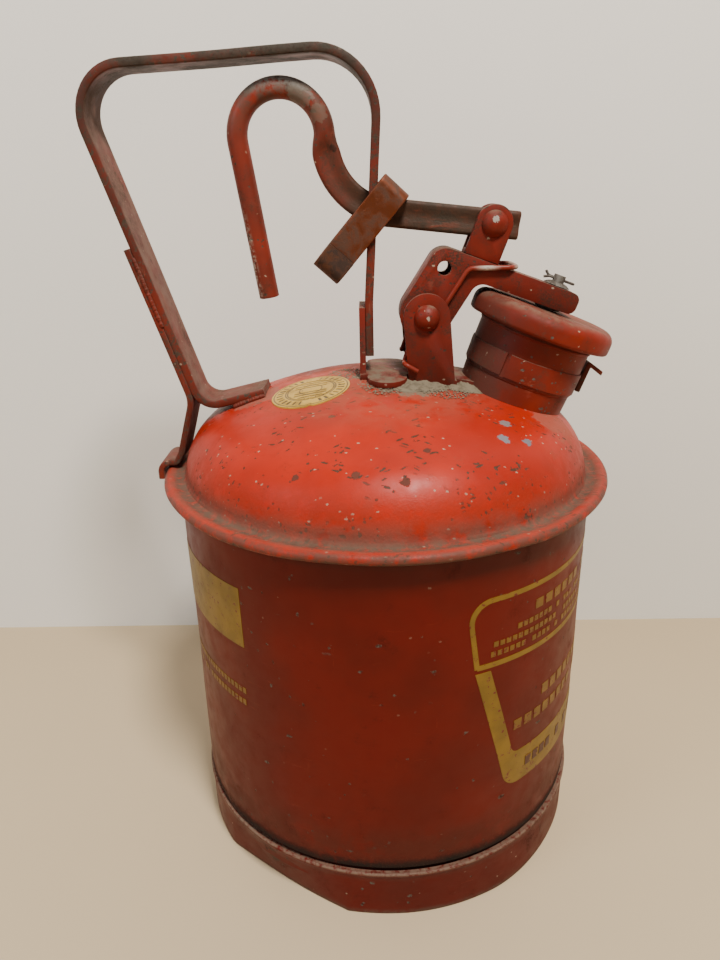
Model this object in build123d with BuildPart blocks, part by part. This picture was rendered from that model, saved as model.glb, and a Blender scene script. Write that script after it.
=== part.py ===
from build123d import *
from math import atan2, cos, degrees, radians, sin, sqrt
import os

# Safety gas can. Millimetres, +Z up, origin on the floor at the can's axis.
# The spout leans towards +X, the handle's rear leg stands at -X, and the
# whole opening mechanism is symmetrical about the plane Y = 0.

os.makedirs("parts", exist_ok=True)

# ---------------------------------------------------------------- driving sizes

# can body
body_diameter = 176.0
rim_height = 169.3          # middle of the rolled rim above the floor
body_sheet = 1.0            # wall thickness of the body, dome and bottom
rim_overhang = 7.0          # how far the rolled rim stands out of the wall
rim_bead_diameter = 5.6
dome_setback = 2.5          # from the wall in to the root of the dome
dome_rise = 40.0            # from the rim's flange to the crown
dome_knuckle = 28.0         # radius of the dome's shoulder
flange_sheet = 1.4
foot_height = 24.0
foot_sheet = 1.6
foot_lip = 1.1              # half height of the lip at the top of the foot band
seam_inset = 1.4            # the wall's step into the foot band
seam_gap = 1.0              # dark groove left between the wall and the foot band
foot_overlap = 10.0         # how far the wall reaches down inside the foot band
bottom_clearance = 20.0     # underside of the bottom disc above the floor

# approval seal on the dome
seal_diameter = 32.0
seal_thickness = 0.8
seal_x = -29.6
seal_y = -16.0

# spout: lengths along its axis are counted from the lid's lower edge
spout_setback = 34.0       # from the can's axis to the lid's near edge
spout_rise = 16.5           # lid's lower edge above the crown, on the spout's axis
spout_tilt = 20.0
neck_diameter = 47.2
neck_sheet = 1.1
neck_foot = -20.2
mouth_top = 4.3
mouth_bead = 1.3
collar_diameter = neck_diameter - 4.2
collar_top = -14.0
collar_foot = -33.0
band_thickness = 0.6
band_height = 9.4
band_slit = 1.0
band_slit_angle = -120.0
catch_width = 10.0
catch_thickness = 1.8
catch_length = 13.0
catch_reach = 7.4
arrester_diameter = neck_diameter - 13.2
arrester_depth = 62.0
arrester_sheet = 0.8
arrester_hole = 3.4
arrester_rows = 9
arrester_columns = 14
arrester_ring_height = 1.4

# lid
lid_diameter = neck_diameter + 12.8
lid_height = 9.0
lid_sheet = 1.2
lid_shoulder = 4.5
gasket_thickness = 3.2
gasket_outer_diameter = neck_diameter + 3.4
gasket_inner_diameter = neck_diameter - 9.2
retainer_diameter = gasket_inner_diameter - 0.4
retainer_thickness = 1.4
stud_diameter = 4.8
stud_head_diameter = 10.0
stud_head_height = 2.0
stud_top = 22.9
cotter_wire = 1.5
cotter_length = 11.0
washer_diameter = 11.0
washer_height = 1.4
pad_spring_wire = 1.5
pad_spring_side_gap = 0.5     # between the pad spring and the arm's cheeks
pad_spring_turns = 4.0

# lid arm: a channel, open underneath
pivot_x = 17.2
pivot_rise = 24.5           # pivot above the crown
arm_width = 16.0
arm_sheet = 2.0
arm_gap = 1.2               # between the lid's top and the arm
arm_depth = 8.3
arm_end = 9.0               # how far the arm runs past the stud
arm_leg_angle = 57.5        # slope of the arm's upright part
arm_leg_half = 10.3
arm_corner = 7.0
arm_inner_corner = 5.0
arm_end_corner = 3.0
lock_hole_diameter = 5.5
lock_hole_along = 19.0      # from the pivot, along the arm's upright part
lock_hole_across = -3.6

# bracket on the dome
plate_thickness = 2.2
plate_front = -9.5
plate_rear = 37.0
plate_half_width = 12.0
plate_gap = 0.4             # between the plate and the spout's collar
lobe_x = 1.5
lobe_y = 14.5
lobe_radius = 8.0
ear_sheet = 2.5
ear_radius = 9.2
ear_foot_front = 11.0
ear_foot_rear = 29.6
flange_rise = 28.0          # top of the bracket's upright flange above the crown
pivot_pin_diameter = 6.0
rivet_head_diameter = 10.4
rivet_head_height = 3.8
pin_clearance = 0.05        # running clearance on a radius

# closing spring
spring_wire = 1.9
spring_pin_gap = 0.25       # between the coils and the pivot pin
spring_side_gap = 0.25
spring_loop_along = -19.57  # loop's place along the arm, from the spout's axis
spring_loop_gap = 0.99      # between the loop and the arm's top
spring_bend_x = 33.6
spring_bend_rise = 42.4
spring_tail_x = 8.4
spring_tail_rise = 6.6
spring_tip_x = 13.6
spring_tip_rise = 3.6

# trigger lever and its clevis
lever_pivot_along = -33.4   # along the arm's top, from the stud
lever_pivot_height = 14.0   # above the arm's top
lever_tube = 8.0
lever_tube_wall = 1.2
lever_flat_height = 10.8
lever_flat_thickness = 4.8
lever_slope = 6.6           # droop of the lever's straight part
lever_straight = 41.4
lever_tip = 9.8
lever_bend = 27.0
lever_step = 1.1
hook_radius = 16.5
hook_blend = 20.0
tail_slope = 8.2
tail_length = 57.5
clevis_gap = 0.4            # each side of the lever
clevis_sheet = 2.4
clevis_radius = 7.2
clevis_base = 2.0
lever_pin_diameter = 5.0
lever_head_diameter = 10.6
lever_head_height = 3.0

# handle
strap_width = 19.0
strap_thickness = 3.4
bail_heel_reach = 11.8      # from the wall in to the bail's lower bend
bail_foot_length = 26.7
bail_heel_rise = -12.2
bail_rear_overhang = 27.3   # bail's upper bend, out past the wall
bail_rear_rise = 114.6
bail_front_x = -0.5
bail_front_rise = 120.3
bail_leg_x = -5.4
bail_knee_rise = 30.0
bail_leg_foot_rise = 8.7
bail_heel_bend = 8.5
bail_rear_bend = 17.0
bail_front_bend = 22.0
slot_side_gap = 1.2         # each side of the lever
slot_bottom_rise = 55.4
slot_top_rise = 74.4
leg_joint_rise = 86.0       # weld between the bail and its front leg, above the crown
brace_thickness = 2.6
brace_top_rise = 52.0
brace_knee_rise = -9.0
brace_hook_gap = 0.3

# keeper ring round the handle's front leg and the lever
ring_x = -7.5
ring_rise = 58.1
ring_length = 40.8
ring_strip = 12.0
ring_sheet = 1.5
ring_angle = 48.4
ring_corner = 4.0
ring_clearance = 0.6

# ------------------------------------------------------------- derived positions

arm_bottom = lid_height + arm_gap
arm_top = arm_bottom + arm_depth     # top of the arm over the lid's lower edge
pad_spring_diameter = arm_width - 2 * (arm_sheet + pad_spring_side_gap)
spring_coil_radius = (pivot_pin_diameter + spring_wire) / 2 + spring_pin_gap
slot_width = lever_flat_thickness + 2 * slot_side_gap

body_radius = body_diameter / 2
dome_radius = body_radius - dome_setback
rim_radius = body_radius + rim_overhang
bead_radius = rim_bead_diameter / 2
bail_heel_x = bail_heel_reach - body_radius
bail_foot_x = bail_heel_x + bail_foot_length
bail_rear_x = -bail_rear_overhang - body_radius
bead_ring_radius = rim_radius - bead_radius
flange_bottom = rim_height - flange_sheet / 2
dome_foot = rim_height + flange_sheet / 2
crown_z = dome_foot + dome_rise

# The dome's section is a shoulder arc that runs tangent into a crown arc.
shoulder_r = dome_radius - dome_knuckle
crown_radius = (shoulder_r**2 + dome_rise**2 - dome_knuckle**2) / (2 * (dome_rise - dome_knuckle))
crown_center_z = crown_z - crown_radius
shoulder_angle = degrees(atan2(dome_foot - crown_center_z, shoulder_r))


def dome_height(radius):
    """Height of the dome's outside at a distance from the can's axis."""
    if radius < crown_radius * cos(radians(shoulder_angle)):
        return crown_center_z + sqrt(crown_radius**2 - radius**2)
    return dome_foot + sqrt(dome_knuckle**2 - (radius - shoulder_r) ** 2)


def meet(point_a, direction_a, point_b, direction_b):
    """Crossing point of two straight lines in the plane of the mechanism."""
    gap = point_b - point_a
    cross = direction_a.X * direction_b.Y - direction_a.Y * direction_b.X
    reach = (gap.X * direction_b.Y - gap.Y * direction_b.X) / cross
    return point_a + direction_a * reach


def unit(angle):
    """Direction at an angle from +X in the plane of the mechanism."""
    return Vector(cos(radians(angle)), sin(radians(angle)))


# Points of the mechanism are (X, Z) pairs, drawn on Plane.XZ.
spout_x = spout_setback + lid_diameter / 2
mouth = Vector(spout_x, crown_z + spout_rise)
along_bar = unit(-spout_tilt)
up_spout = unit(90 - spout_tilt)
pivot = Vector(pivot_x, crown_z + pivot_rise)
along_leg = unit(arm_leg_angle)
across_leg = unit(arm_leg_angle - 90)


def pair(point):
    """The point as a plain pair, which a line on Plane.XZ reads as local."""
    return (point.X, point.Y)


def bar_point(along, height):
    """Point given along the arm's bar and up the spout's axis, from the lid's lower edge."""
    return mouth + along_bar * along + up_spout * height


def leg_point(along, across):
    """Point given along and across the arm's upright part, from its pivot."""
    return pivot + along_leg * along + across_leg * across


spout_origin = (mouth.X, 0, mouth.Y)
spout_direction = (up_spout.X, 0, up_spout.Y)
spout_plane = Plane(origin=spout_origin, x_dir=(along_bar.X, 0, along_bar.Y), z_dir=spout_direction)
spout_section = Plane(origin=spout_origin, x_dir=spout_plane.x_dir, z_dir=(0, -1, 0))
spout_axis = Axis(spout_origin, spout_direction)

lever_pivot = bar_point(lever_pivot_along, arm_top + lever_pivot_height)
pad_spring_foot = lid_height + 0.1
pad_spring_top = arm_top - arm_sheet - 0.3
coil_inner_y = arm_width / 2 + spring_side_gap
coil_outer_y = coil_inner_y + 2 * spring_wire + 0.1
ear_inner_y = coil_outer_y + spring_side_gap
ear_outer_y = ear_inner_y + ear_sheet


def dome_section(inset, base):
    """Half section of the space under the dome, set in from the dome's outside."""
    with BuildSketch(Plane.XZ) as section:
        with BuildLine():
            Line((0, base), (dome_radius - inset, base))
            Line((dome_radius - inset, base), (dome_radius - inset, dome_foot))
            CenterArc((shoulder_r, dome_foot), dome_knuckle - inset, 0, shoulder_angle)
            CenterArc((0, crown_center_z), crown_radius - inset, shoulder_angle, 90 - shoulder_angle)
            Line((0, crown_z - inset), (0, base))
        make_face()
    return section.sketch


def under_dome(inset):
    """Solid that fills the dome up to its outside, less the inset."""
    with BuildPart() as filling:
        add(dome_section(inset, flange_bottom))
        revolve(axis=Axis.Z)
    return filling.part


dome_filling = under_dome(0)

# --------------------------------------------------------------------- can body

seam_radius = body_radius - seam_inset
seam_top = foot_height + seam_gap
step_top = seam_top + seam_inset
wall_foot = foot_height - foot_overlap
wall_flange_radius = bead_ring_radius - bead_radius - 0.1

with BuildPart() as body_shell:
    with BuildSketch(Plane.XZ):
        with BuildLine():
            Polyline(
                (seam_radius, wall_foot),
                (seam_radius, seam_top),
                (body_radius, step_top),
                (body_radius, flange_bottom - body_sheet),
                (wall_flange_radius, flange_bottom - body_sheet),
                (wall_flange_radius, flange_bottom),
                (body_radius - body_sheet, flange_bottom),
                (body_radius - body_sheet, step_top + body_sheet / 2),
                (seam_radius - body_sheet, seam_top + body_sheet / 2),
                (seam_radius - body_sheet, wall_foot),
                close=True,
            )
        make_face()
    revolve(axis=Axis.Z)
body_shell.part.label = "body_shell"
export_step(body_shell.part, "parts/body_shell.step")

# pressed disc with a down-turned skirt, fixed inside the wall's lower end
bottom_radius = seam_radius - body_sheet
bottom_crown = 1.5
with BuildPart() as bottom_head:
    with BuildSketch(Plane.XZ):
        with BuildLine():
            Polyline(
                (bottom_radius - body_sheet, wall_foot),
                (bottom_radius, wall_foot),
                (bottom_radius, bottom_clearance + body_sheet),
                (bottom_radius - 4 * body_sheet, bottom_clearance + body_sheet),
                (bottom_radius - 8 * body_sheet, bottom_clearance + body_sheet + bottom_crown),
                (0, bottom_clearance + body_sheet + bottom_crown),
                (0, bottom_clearance + bottom_crown),
                (bottom_radius - 8 * body_sheet, bottom_clearance + bottom_crown),
                (bottom_radius - 4 * body_sheet, bottom_clearance),
                (bottom_radius - body_sheet, bottom_clearance),
                close=True,
            )
        make_face()
    revolve(axis=Axis.Z)
bottom_head.part.label = "bottom_head"
export_step(bottom_head.part, "parts/bottom_head.step")

# ring the can stands on, with a lip at its top edge
with BuildPart() as foot_band:
    with BuildSketch(Plane.XZ):
        with BuildLine():
            Line((seam_radius, 0), (seam_radius + foot_sheet, 0))
            Line((seam_radius + foot_sheet, 0), (seam_radius + foot_sheet, foot_height - 2 * foot_lip))
            RadiusArc(
                (seam_radius + foot_sheet, foot_height - 2 * foot_lip),
                (seam_radius + foot_sheet, foot_height),
                -foot_lip * 1.2,
            )
            Line((seam_radius + foot_sheet, foot_height), (seam_radius, foot_height))
            Line((seam_radius, foot_height), (seam_radius, 0))
        make_face()
    revolve(axis=Axis.Z)
foot_band.part.label = "foot_band"
export_step(foot_band.part, "parts/foot_band.step")

# domed top, its flange rolled over the wall's flange into a round bead
with BuildPart() as top_dome:
    with BuildSketch(Plane.XZ) as dome_profile:
        add(dome_section(0, flange_bottom))
        add(dome_section(body_sheet, flange_bottom - flange_sheet), mode=Mode.SUBTRACT)
        with Locations(((dome_radius + bead_ring_radius) / 2, rim_height)):
            Rectangle(bead_ring_radius - dome_radius + body_sheet, flange_sheet)
        with Locations((bead_ring_radius, rim_height)):
            Circle(bead_radius)
    revolve(axis=Axis.Z)
    with BuildSketch(spout_plane.offset(collar_foot)):
        Circle(collar_diameter / 2)
    extrude(amount=-collar_foot, mode=Mode.SUBTRACT)
top_dome.part.label = "top_dome"
export_step(top_dome.part, "parts/top_dome.step")


def skin_on_dome(thickness):
    """Layer that lies on the dome's outside."""
    return under_dome(-thickness) - dome_filling


# round stamped seal, pressed to the dome's curve
with BuildPart() as approval_seal:
    with BuildSketch(Plane.XY.offset(dome_foot)):
        with Locations((seal_x, seal_y)):
            Circle(seal_diameter / 2)
    extrude(amount=2 * dome_rise)
    add(skin_on_dome(seal_thickness), mode=Mode.INTERSECT)
approval_seal.part.label = "approval_seal"
export_step(approval_seal.part, "parts/approval_seal.step")

# ------------------------------------------------------------------------ spout

neck_radius = neck_diameter / 2
collar_radius = collar_diameter / 2
neck_bore = neck_radius - neck_sheet


def ring_on_spout(inner, outer, bottom, top):
    """Half section of a plain ring round the spout's axis."""
    with BuildSketch(spout_section) as section:
        with Locations(((inner + outer) / 2, (bottom + top) / 2)):
            Rectangle(outer - inner, top - bottom)
    return section.sketch


# collar that rises out of the dome's opening
with BuildPart() as neck_collar:
    add(ring_on_spout(collar_radius - body_sheet, collar_radius, collar_foot, collar_top))
    revolve(axis=spout_axis)
neck_collar.part.label = "neck_collar"
export_step(neck_collar.part, "parts/neck_collar.step")

# pouring neck: it grips the collar below and ends in a rolled mouth
with BuildPart() as spout_neck:
    add(ring_on_spout(collar_radius, neck_radius, neck_foot, collar_top))
    add(ring_on_spout(neck_bore, neck_radius, collar_top, mouth_top - mouth_bead))
    with BuildSketch(spout_section):
        with Locations(((neck_bore + neck_radius) / 2, mouth_top - mouth_bead)):
            Circle(mouth_bead)
    revolve(axis=spout_axis)
spout_neck.part.label = "spout_neck"
export_step(spout_neck.part, "parts/spout_neck.step")

# strip clamped round the neck's foot, slit where its ends meet
band_radius = neck_radius + band_thickness
band_foot = neck_foot + 0.6
with BuildPart() as neck_band:
    add(ring_on_spout(neck_radius, band_radius, band_foot, band_foot + band_height))
    revolve(axis=spout_axis)
    with BuildSketch(spout_plane.offset(band_foot).rotated((0, 0, band_slit_angle))):
        with Locations((band_radius, 0)):
            Rectangle(band_radius, band_slit)
    extrude(amount=band_height, mode=Mode.SUBTRACT)
neck_band.part.label = "neck_band"
export_step(neck_band.part, "parts/neck_band.step")

# bent tab on the neck's outer side that a funnel hooks on
catch_foot = band_foot + 1.5
catch_top = catch_foot + catch_length
with BuildPart() as funnel_catch:
    with BuildSketch(spout_section):
        with BuildLine():
            Polyline(
                (neck_radius - 1, catch_foot),
                (band_radius + catch_thickness, catch_foot),
                (band_radius + catch_thickness, catch_top - catch_thickness),
                (band_radius + catch_reach, catch_top - 2 * catch_thickness),
                (band_radius + catch_reach, catch_top - catch_thickness),
                (band_radius + catch_thickness / 2, catch_top),
                (neck_radius - 1, catch_top),
                close=True,
            )
        make_face()
    extrude(amount=catch_width / 2, both=True)
    with BuildSketch(spout_plane.offset(catch_foot)):
        Circle(band_radius)
    extrude(amount=catch_length, mode=Mode.SUBTRACT)
funnel_catch.part.label = "funnel_catch"
export_step(funnel_catch.part, "parts/funnel_catch.step")

# perforated basket that hangs in the neck, and the ring that carries it
arrester_radius = arrester_diameter / 2
basket_top = collar_top + arrester_ring_height
with BuildPart() as flame_arrester:
    with BuildSketch(spout_plane.offset(basket_top - arrester_depth)):
        Circle(arrester_radius)
    extrude(amount=arrester_depth)
    with BuildSketch(spout_plane.offset(basket_top - arrester_depth + arrester_sheet)):
        Circle(arrester_radius - arrester_sheet)
    extrude(amount=arrester_depth, mode=Mode.SUBTRACT)
    row_pitch = arrester_depth / (arrester_rows + 1)
    column_angle = 360 / arrester_columns
    for row in range(arrester_rows):
        row_plane = spout_plane.offset(basket_top - row_pitch * (row + 1))
        for column in range(arrester_columns):
            turn = column_angle * (column + 0.5 * (row % 2))
            hole_plane = row_plane.rotated((0, 0, turn))
            with BuildSketch(Plane(origin=hole_plane.origin, x_dir=hole_plane.y_dir, z_dir=hole_plane.x_dir)):
                Circle(arrester_hole / 2)
            extrude(amount=arrester_radius + 1, mode=Mode.SUBTRACT)
flame_arrester.part.label = "flame_arrester"
export_step(flame_arrester.part, "parts/flame_arrester.step")

with BuildPart() as arrester_ring:
    add(ring_on_spout(arrester_radius, neck_bore, collar_top, basket_top))
    revolve(axis=spout_axis)
arrester_ring.part.label = "arrester_ring"
export_step(arrester_ring.part, "parts/arrester_ring.step")

# -------------------------------------------------------------------------- lid

lid_radius = lid_diameter / 2
stud_radius = stud_diameter / 2
lid_ceiling = lid_height - lid_sheet
stud_hole_radius = stud_radius + 0.02


def cap_section(inset):
    """Half section of the lid's outer form, set in by a wall, in the section plane's own axes."""
    with BuildSketch() as section:
        with BuildLine():
            Line((0, 0), (lid_radius - inset, 0))
            Line((lid_radius - inset, 0), (lid_radius - inset, lid_height - lid_shoulder))
            CenterArc((lid_radius - lid_shoulder, lid_height - lid_shoulder), lid_shoulder - inset, 0, 90)
            Line((lid_radius - lid_shoulder, lid_height - inset), (0, lid_height - inset))
            Line((0, lid_height - inset), (0, 0))
        make_face()
    return section.sketch_local


with BuildPart() as lid:
    with BuildSketch(spout_section):
        add(cap_section(0))
        add(cap_section(lid_sheet), mode=Mode.SUBTRACT)
    revolve(axis=spout_axis)
    with BuildSketch(spout_plane):
        Circle(stud_hole_radius)
    extrude(amount=lid_height, mode=Mode.SUBTRACT)
lid.part.label = "lid"
export_step(lid.part, "parts/lid.step")

with BuildPart() as lid_gasket:
    gasket_foot = lid_ceiling - gasket_thickness
    add(ring_on_spout(gasket_inner_diameter / 2, gasket_outer_diameter / 2, gasket_foot, lid_ceiling))
    revolve(axis=spout_axis)
lid_gasket.part.label = "lid_gasket"
export_step(lid_gasket.part, "parts/lid_gasket.step")

retainer_foot = lid_ceiling - retainer_thickness
with BuildPart() as gasket_retainer:
    add(ring_on_spout(stud_hole_radius, retainer_diameter / 2, retainer_foot, lid_ceiling))
    revolve(axis=spout_axis)
gasket_retainer.part.label = "gasket_retainer"
export_step(gasket_retainer.part, "parts/gasket_retainer.step")

cotter_height = stud_top - 1.8
with BuildPart() as lid_stud:
    with BuildSketch(spout_plane.offset(retainer_foot - stud_head_height)):
        Circle(stud_head_diameter / 2)
    extrude(amount=stud_head_height)
    with BuildSketch(spout_plane.offset(retainer_foot)):
        Circle(stud_radius)
    extrude(amount=stud_top - retainer_foot)
    with BuildSketch(Plane(origin=spout_plane.origin, x_dir=(0, 1, 0), z_dir=spout_plane.x_dir)):
        with Locations((0, cotter_height)):
            Circle(cotter_wire / 2)
    extrude(amount=stud_diameter, both=True, mode=Mode.SUBTRACT)
lid_stud.part.label = "lid_stud"
export_step(lid_stud.part, "parts/lid_stud.step")

# split pin through the stud's end: a straight shank with an eye at one end
cotter_plane = Plane(origin=spout_plane.origin, x_dir=(0, 1, 0), z_dir=spout_plane.x_dir)
with BuildPart() as cotter_pin:
    with BuildSketch(cotter_plane.offset(-cotter_length / 2)):
        with Locations((0, cotter_height)):
            Circle(cotter_wire / 2)
    extrude(amount=cotter_length)
    with BuildSketch(spout_section):
        with Locations((-cotter_length / 2 - cotter_wire / 2, cotter_height)):
            Circle(cotter_wire)
            Circle(cotter_wire / 3, mode=Mode.SUBTRACT)
    extrude(amount=cotter_wire / 2, both=True)
cotter_pin.part.label = "cotter_pin"
export_step(cotter_pin.part, "parts/cotter_pin.step")

# domed washer between the arm's top and the split pin
washer_foot = arm_top + 0.3
with BuildPart() as stud_washer:
    with BuildSketch(spout_section):
        with BuildLine():
            Line((stud_hole_radius, washer_foot), (washer_diameter / 2, washer_foot))
            RadiusArc((washer_diameter / 2, washer_foot), (stud_hole_radius, washer_foot + washer_height), -6)
            Line((stud_hole_radius, washer_foot + washer_height), (stud_hole_radius, washer_foot))
        make_face()
    revolve(axis=spout_axis)
stud_washer.part.label = "stud_washer"
export_step(stud_washer.part, "parts/stud_washer.step")

# coil spring round the stud that keeps the lid square on the mouth
pad_spring_radius = (pad_spring_diameter - pad_spring_wire) / 2
pad_spring_rise = pad_spring_top - pad_spring_foot - pad_spring_wire
with BuildPart() as lid_spring:
    with BuildLine() as pad_path:
        Helix(
            pitch=pad_spring_rise / pad_spring_turns,
            height=pad_spring_rise,
            radius=pad_spring_radius,
            center=spout_plane.offset(pad_spring_foot + pad_spring_wire / 2).origin,
            direction=spout_direction,
        )
    with BuildSketch(Plane(origin=pad_path.line @ 0, z_dir=pad_path.line % 0)):
        Circle(pad_spring_wire / 2)
    sweep(is_frenet=True)
lid_spring.part.label = "lid_spring"
export_step(lid_spring.part, "parts/lid_spring.step")

# ------------------------------------------------------------- arm and its pivot

bar_line = bar_point(0, arm_top)
arm_corner_point = meet(leg_point(0, -arm_leg_half), along_leg, bar_line, along_bar)
arm_inner_point = meet(leg_point(0, arm_leg_half), along_leg, bar_point(0, arm_bottom), along_bar)
cavity_reach = 3 * arm_leg_half


def channel_cavity(inset):
    """Outline of everything under the channel's bent web, on the far cheek's inner face."""
    corner = meet(leg_point(0, inset - arm_leg_half), along_leg, bar_point(0, arm_top - inset), along_bar)
    with BuildSketch(Plane.XZ.offset(inset - arm_width / 2)) as outline:
        with BuildLine():
            start = leg_point(-cavity_reach, inset - arm_leg_half)
            end = bar_point(arm_end - inset, arm_top - cavity_reach)
            FilletPolyline(
                start,
                corner,
                bar_point(arm_end - inset, arm_top - inset),
                end,
                radius=[arm_corner - inset, arm_end_corner - inset / 2],
            )
            Polyline(end, leg_point(-cavity_reach, cavity_reach), start)
        make_face()
    return outline.sketch


with BuildPart() as lid_arm:
    with BuildSketch(Plane.XZ.offset(-arm_width / 2)):
        with BuildLine():
            FilletPolyline(
                leg_point(0, -arm_leg_half),
                arm_corner_point,
                bar_point(arm_end, arm_top),
                bar_point(arm_end, arm_bottom),
                arm_inner_point,
                leg_point(0, arm_leg_half),
                radius=[arm_corner, arm_end_corner, arm_end_corner, arm_inner_corner],
            )
            ThreePointArc(
                leg_point(0, arm_leg_half),
                leg_point(-arm_leg_half, 0),
                leg_point(0, -arm_leg_half),
            )
        make_face()
    extrude(amount=arm_width, dir=(0, -1, 0))
    add(channel_cavity(arm_sheet))
    extrude(amount=arm_width - 2 * arm_sheet, dir=(0, -1, 0), mode=Mode.SUBTRACT)
    with BuildSketch(Plane.XZ):
        with Locations(pivot):
            Circle(pivot_pin_diameter / 2 + pin_clearance)
        with Locations(leg_point(lock_hole_along, lock_hole_across)):
            Circle(lock_hole_diameter / 2)
    extrude(amount=arm_width, both=True, mode=Mode.SUBTRACT)
    with BuildSketch(spout_plane.offset(arm_bottom)):
        Circle(stud_radius + pin_clearance)
    extrude(amount=arm_top, mode=Mode.SUBTRACT)
lid_arm.part.label = "lid_arm"
export_step(lid_arm.part, "parts/lid_arm.step")

# bracket: a plate pressed to the dome, two ears, and an upright flange in front
plate_length = plate_rear - plate_front
ear_foot_z = crown_z - dome_rise / 4
flange_top = crown_z + flange_rise
flange_thickness = bail_leg_x - strap_thickness / 2 - plate_front
with BuildPart() as fulcrum_bracket:
    with BuildSketch(Plane.XY.offset(ear_foot_z)):
        with Locations(((plate_front + plate_rear) / 2, 0)):
            Rectangle(plate_length, 2 * plate_half_width)
        with Locations(((ear_foot_front + ear_foot_rear) / 2, 0)):
            Rectangle(ear_foot_rear - ear_foot_front, 2 * ear_outer_y)
        with Locations((lobe_x, lobe_y), (lobe_x, -lobe_y)):
            Circle(lobe_radius)
    extrude(amount=dome_rise)
    add(skin_on_dome(plate_thickness), mode=Mode.INTERSECT)
    for side in (-1, 1):
        with BuildSketch(Plane.XZ.offset(side * (ear_inner_y + ear_sheet / 2))):
            with BuildLine():
                Line((ear_foot_front, ear_foot_z), (ear_foot_rear, ear_foot_z))
                Line((ear_foot_rear, ear_foot_z), (pivot.X + ear_radius, pivot.Y))
                ThreePointArc(
                    (pivot.X + ear_radius, pivot.Y),
                    (pivot.X, pivot.Y + ear_radius),
                    (pivot.X - ear_radius, pivot.Y),
                )
                Line((pivot.X - ear_radius, pivot.Y), (ear_foot_front, ear_foot_z))
            make_face()
            with Locations(pivot):
                Circle(pivot_pin_diameter / 2, mode=Mode.SUBTRACT)
        extrude(amount=ear_sheet / 2, both=True)
    with BuildSketch(Plane.XY.offset(ear_foot_z)):
        with Locations((plate_front + flange_thickness / 2, 0)):
            Rectangle(flange_thickness, strap_width)
    extrude(amount=flange_top - ear_foot_z)
    add(dome_filling, mode=Mode.SUBTRACT)
    with BuildSketch(spout_plane.offset(collar_foot)):
        Circle(collar_radius + plate_gap)
    extrude(amount=-collar_foot, mode=Mode.SUBTRACT)
fulcrum_bracket.part.label = "fulcrum_bracket"
export_step(fulcrum_bracket.part, "parts/fulcrum_bracket.step")


def rivet_head(center, face_y, diameter, height):
    """Domed head that stands on a face at y and points away from the middle plane."""
    radius = ((diameter / 2) ** 2 + height**2) / (2 * height)
    side = 1 if face_y > 0 else -1
    with BuildPart() as head:
        with BuildSketch(Plane(origin=(center.X, 0, center.Y), x_dir=(1, 0, 0), z_dir=(0, 0, 1))):
            with BuildLine():
                Line((0, face_y), (diameter / 2, face_y))
                RadiusArc((diameter / 2, face_y), (0, face_y + side * height), -side * radius)
                Line((0, face_y + side * height), (0, face_y))
            make_face()
        revolve(axis=Axis((center.X, 0, center.Y), (0, 1, 0)))
    return head.part


with BuildPart() as pivot_rivet:
    with BuildSketch(Plane.XZ):
        with Locations(pivot):
            Circle(pivot_pin_diameter / 2)
    extrude(amount=ear_outer_y, both=True)
    add(rivet_head(pivot, -ear_outer_y, rivet_head_diameter, rivet_head_height))
    add(rivet_head(pivot, ear_outer_y, rivet_head_diameter, rivet_head_height))
pivot_rivet.part.label = "pivot_rivet"
export_step(pivot_rivet.part, "parts/pivot_rivet.step")

# Double torsion spring: a coil beside each cheek of the arm, a loop that
# presses on the arm's top, and two tails hooked round the bracket's ears.
coil_mid_y = (coil_inner_y + coil_outer_y) / 2
loop_start = pivot + across_leg * spring_coil_radius
loop = bar_point(spring_loop_along, arm_top + spring_loop_gap + spring_wire / 2)
bend_z = crown_z + spring_bend_rise
tail_z = crown_z + spring_tail_rise
tip_z = crown_z + spring_tip_rise
tail_y = ear_outer_y + spring_wire / 2 + spring_side_gap

with BuildPart() as closing_spring:
    with BuildLine() as loop_path:
        FilletPolyline(
            (loop_start.X, -coil_mid_y, loop_start.Y),
            (spring_bend_x, -coil_mid_y, bend_z),
            (loop.X, -coil_mid_y, loop.Y),
            (loop.X, coil_mid_y, loop.Y),
            (spring_bend_x, coil_mid_y, bend_z),
            (loop_start.X, coil_mid_y, loop_start.Y),
            radius=2 * spring_wire,
        )
    with BuildSketch(Plane(origin=loop_path.line @ 0, z_dir=loop_path.line % 0)):
        Circle(spring_wire / 2)
    sweep()
    for side in (-1, 1):
        with BuildLine() as tail_path:
            FilletPolyline(
                (pivot.X - spring_coil_radius, side * coil_mid_y, pivot.Y),
                (spring_tail_x, side * coil_mid_y, tail_z),
                (spring_tail_x, side * tail_y, tail_z),
                (spring_tip_x, side * tail_y, tip_z),
                radius=spring_wire,
            )
        with BuildSketch(Plane(origin=tail_path.line @ 0, z_dir=tail_path.line % 0)):
            Circle(spring_wire / 2)
        sweep(path=tail_path.line)
        with BuildSketch(Plane.XZ.offset(-side * coil_mid_y)):
            with Locations(pivot):
                Circle(spring_coil_radius + spring_wire / 2)
                Circle(spring_coil_radius - spring_wire / 2, mode=Mode.SUBTRACT)
        extrude(amount=(coil_outer_y - coil_inner_y) / 2, both=True)
closing_spring.part.label = "closing_spring"
export_step(closing_spring.part, "parts/closing_spring.step")

# ------------------------------------------------------------ trigger mechanism

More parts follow.
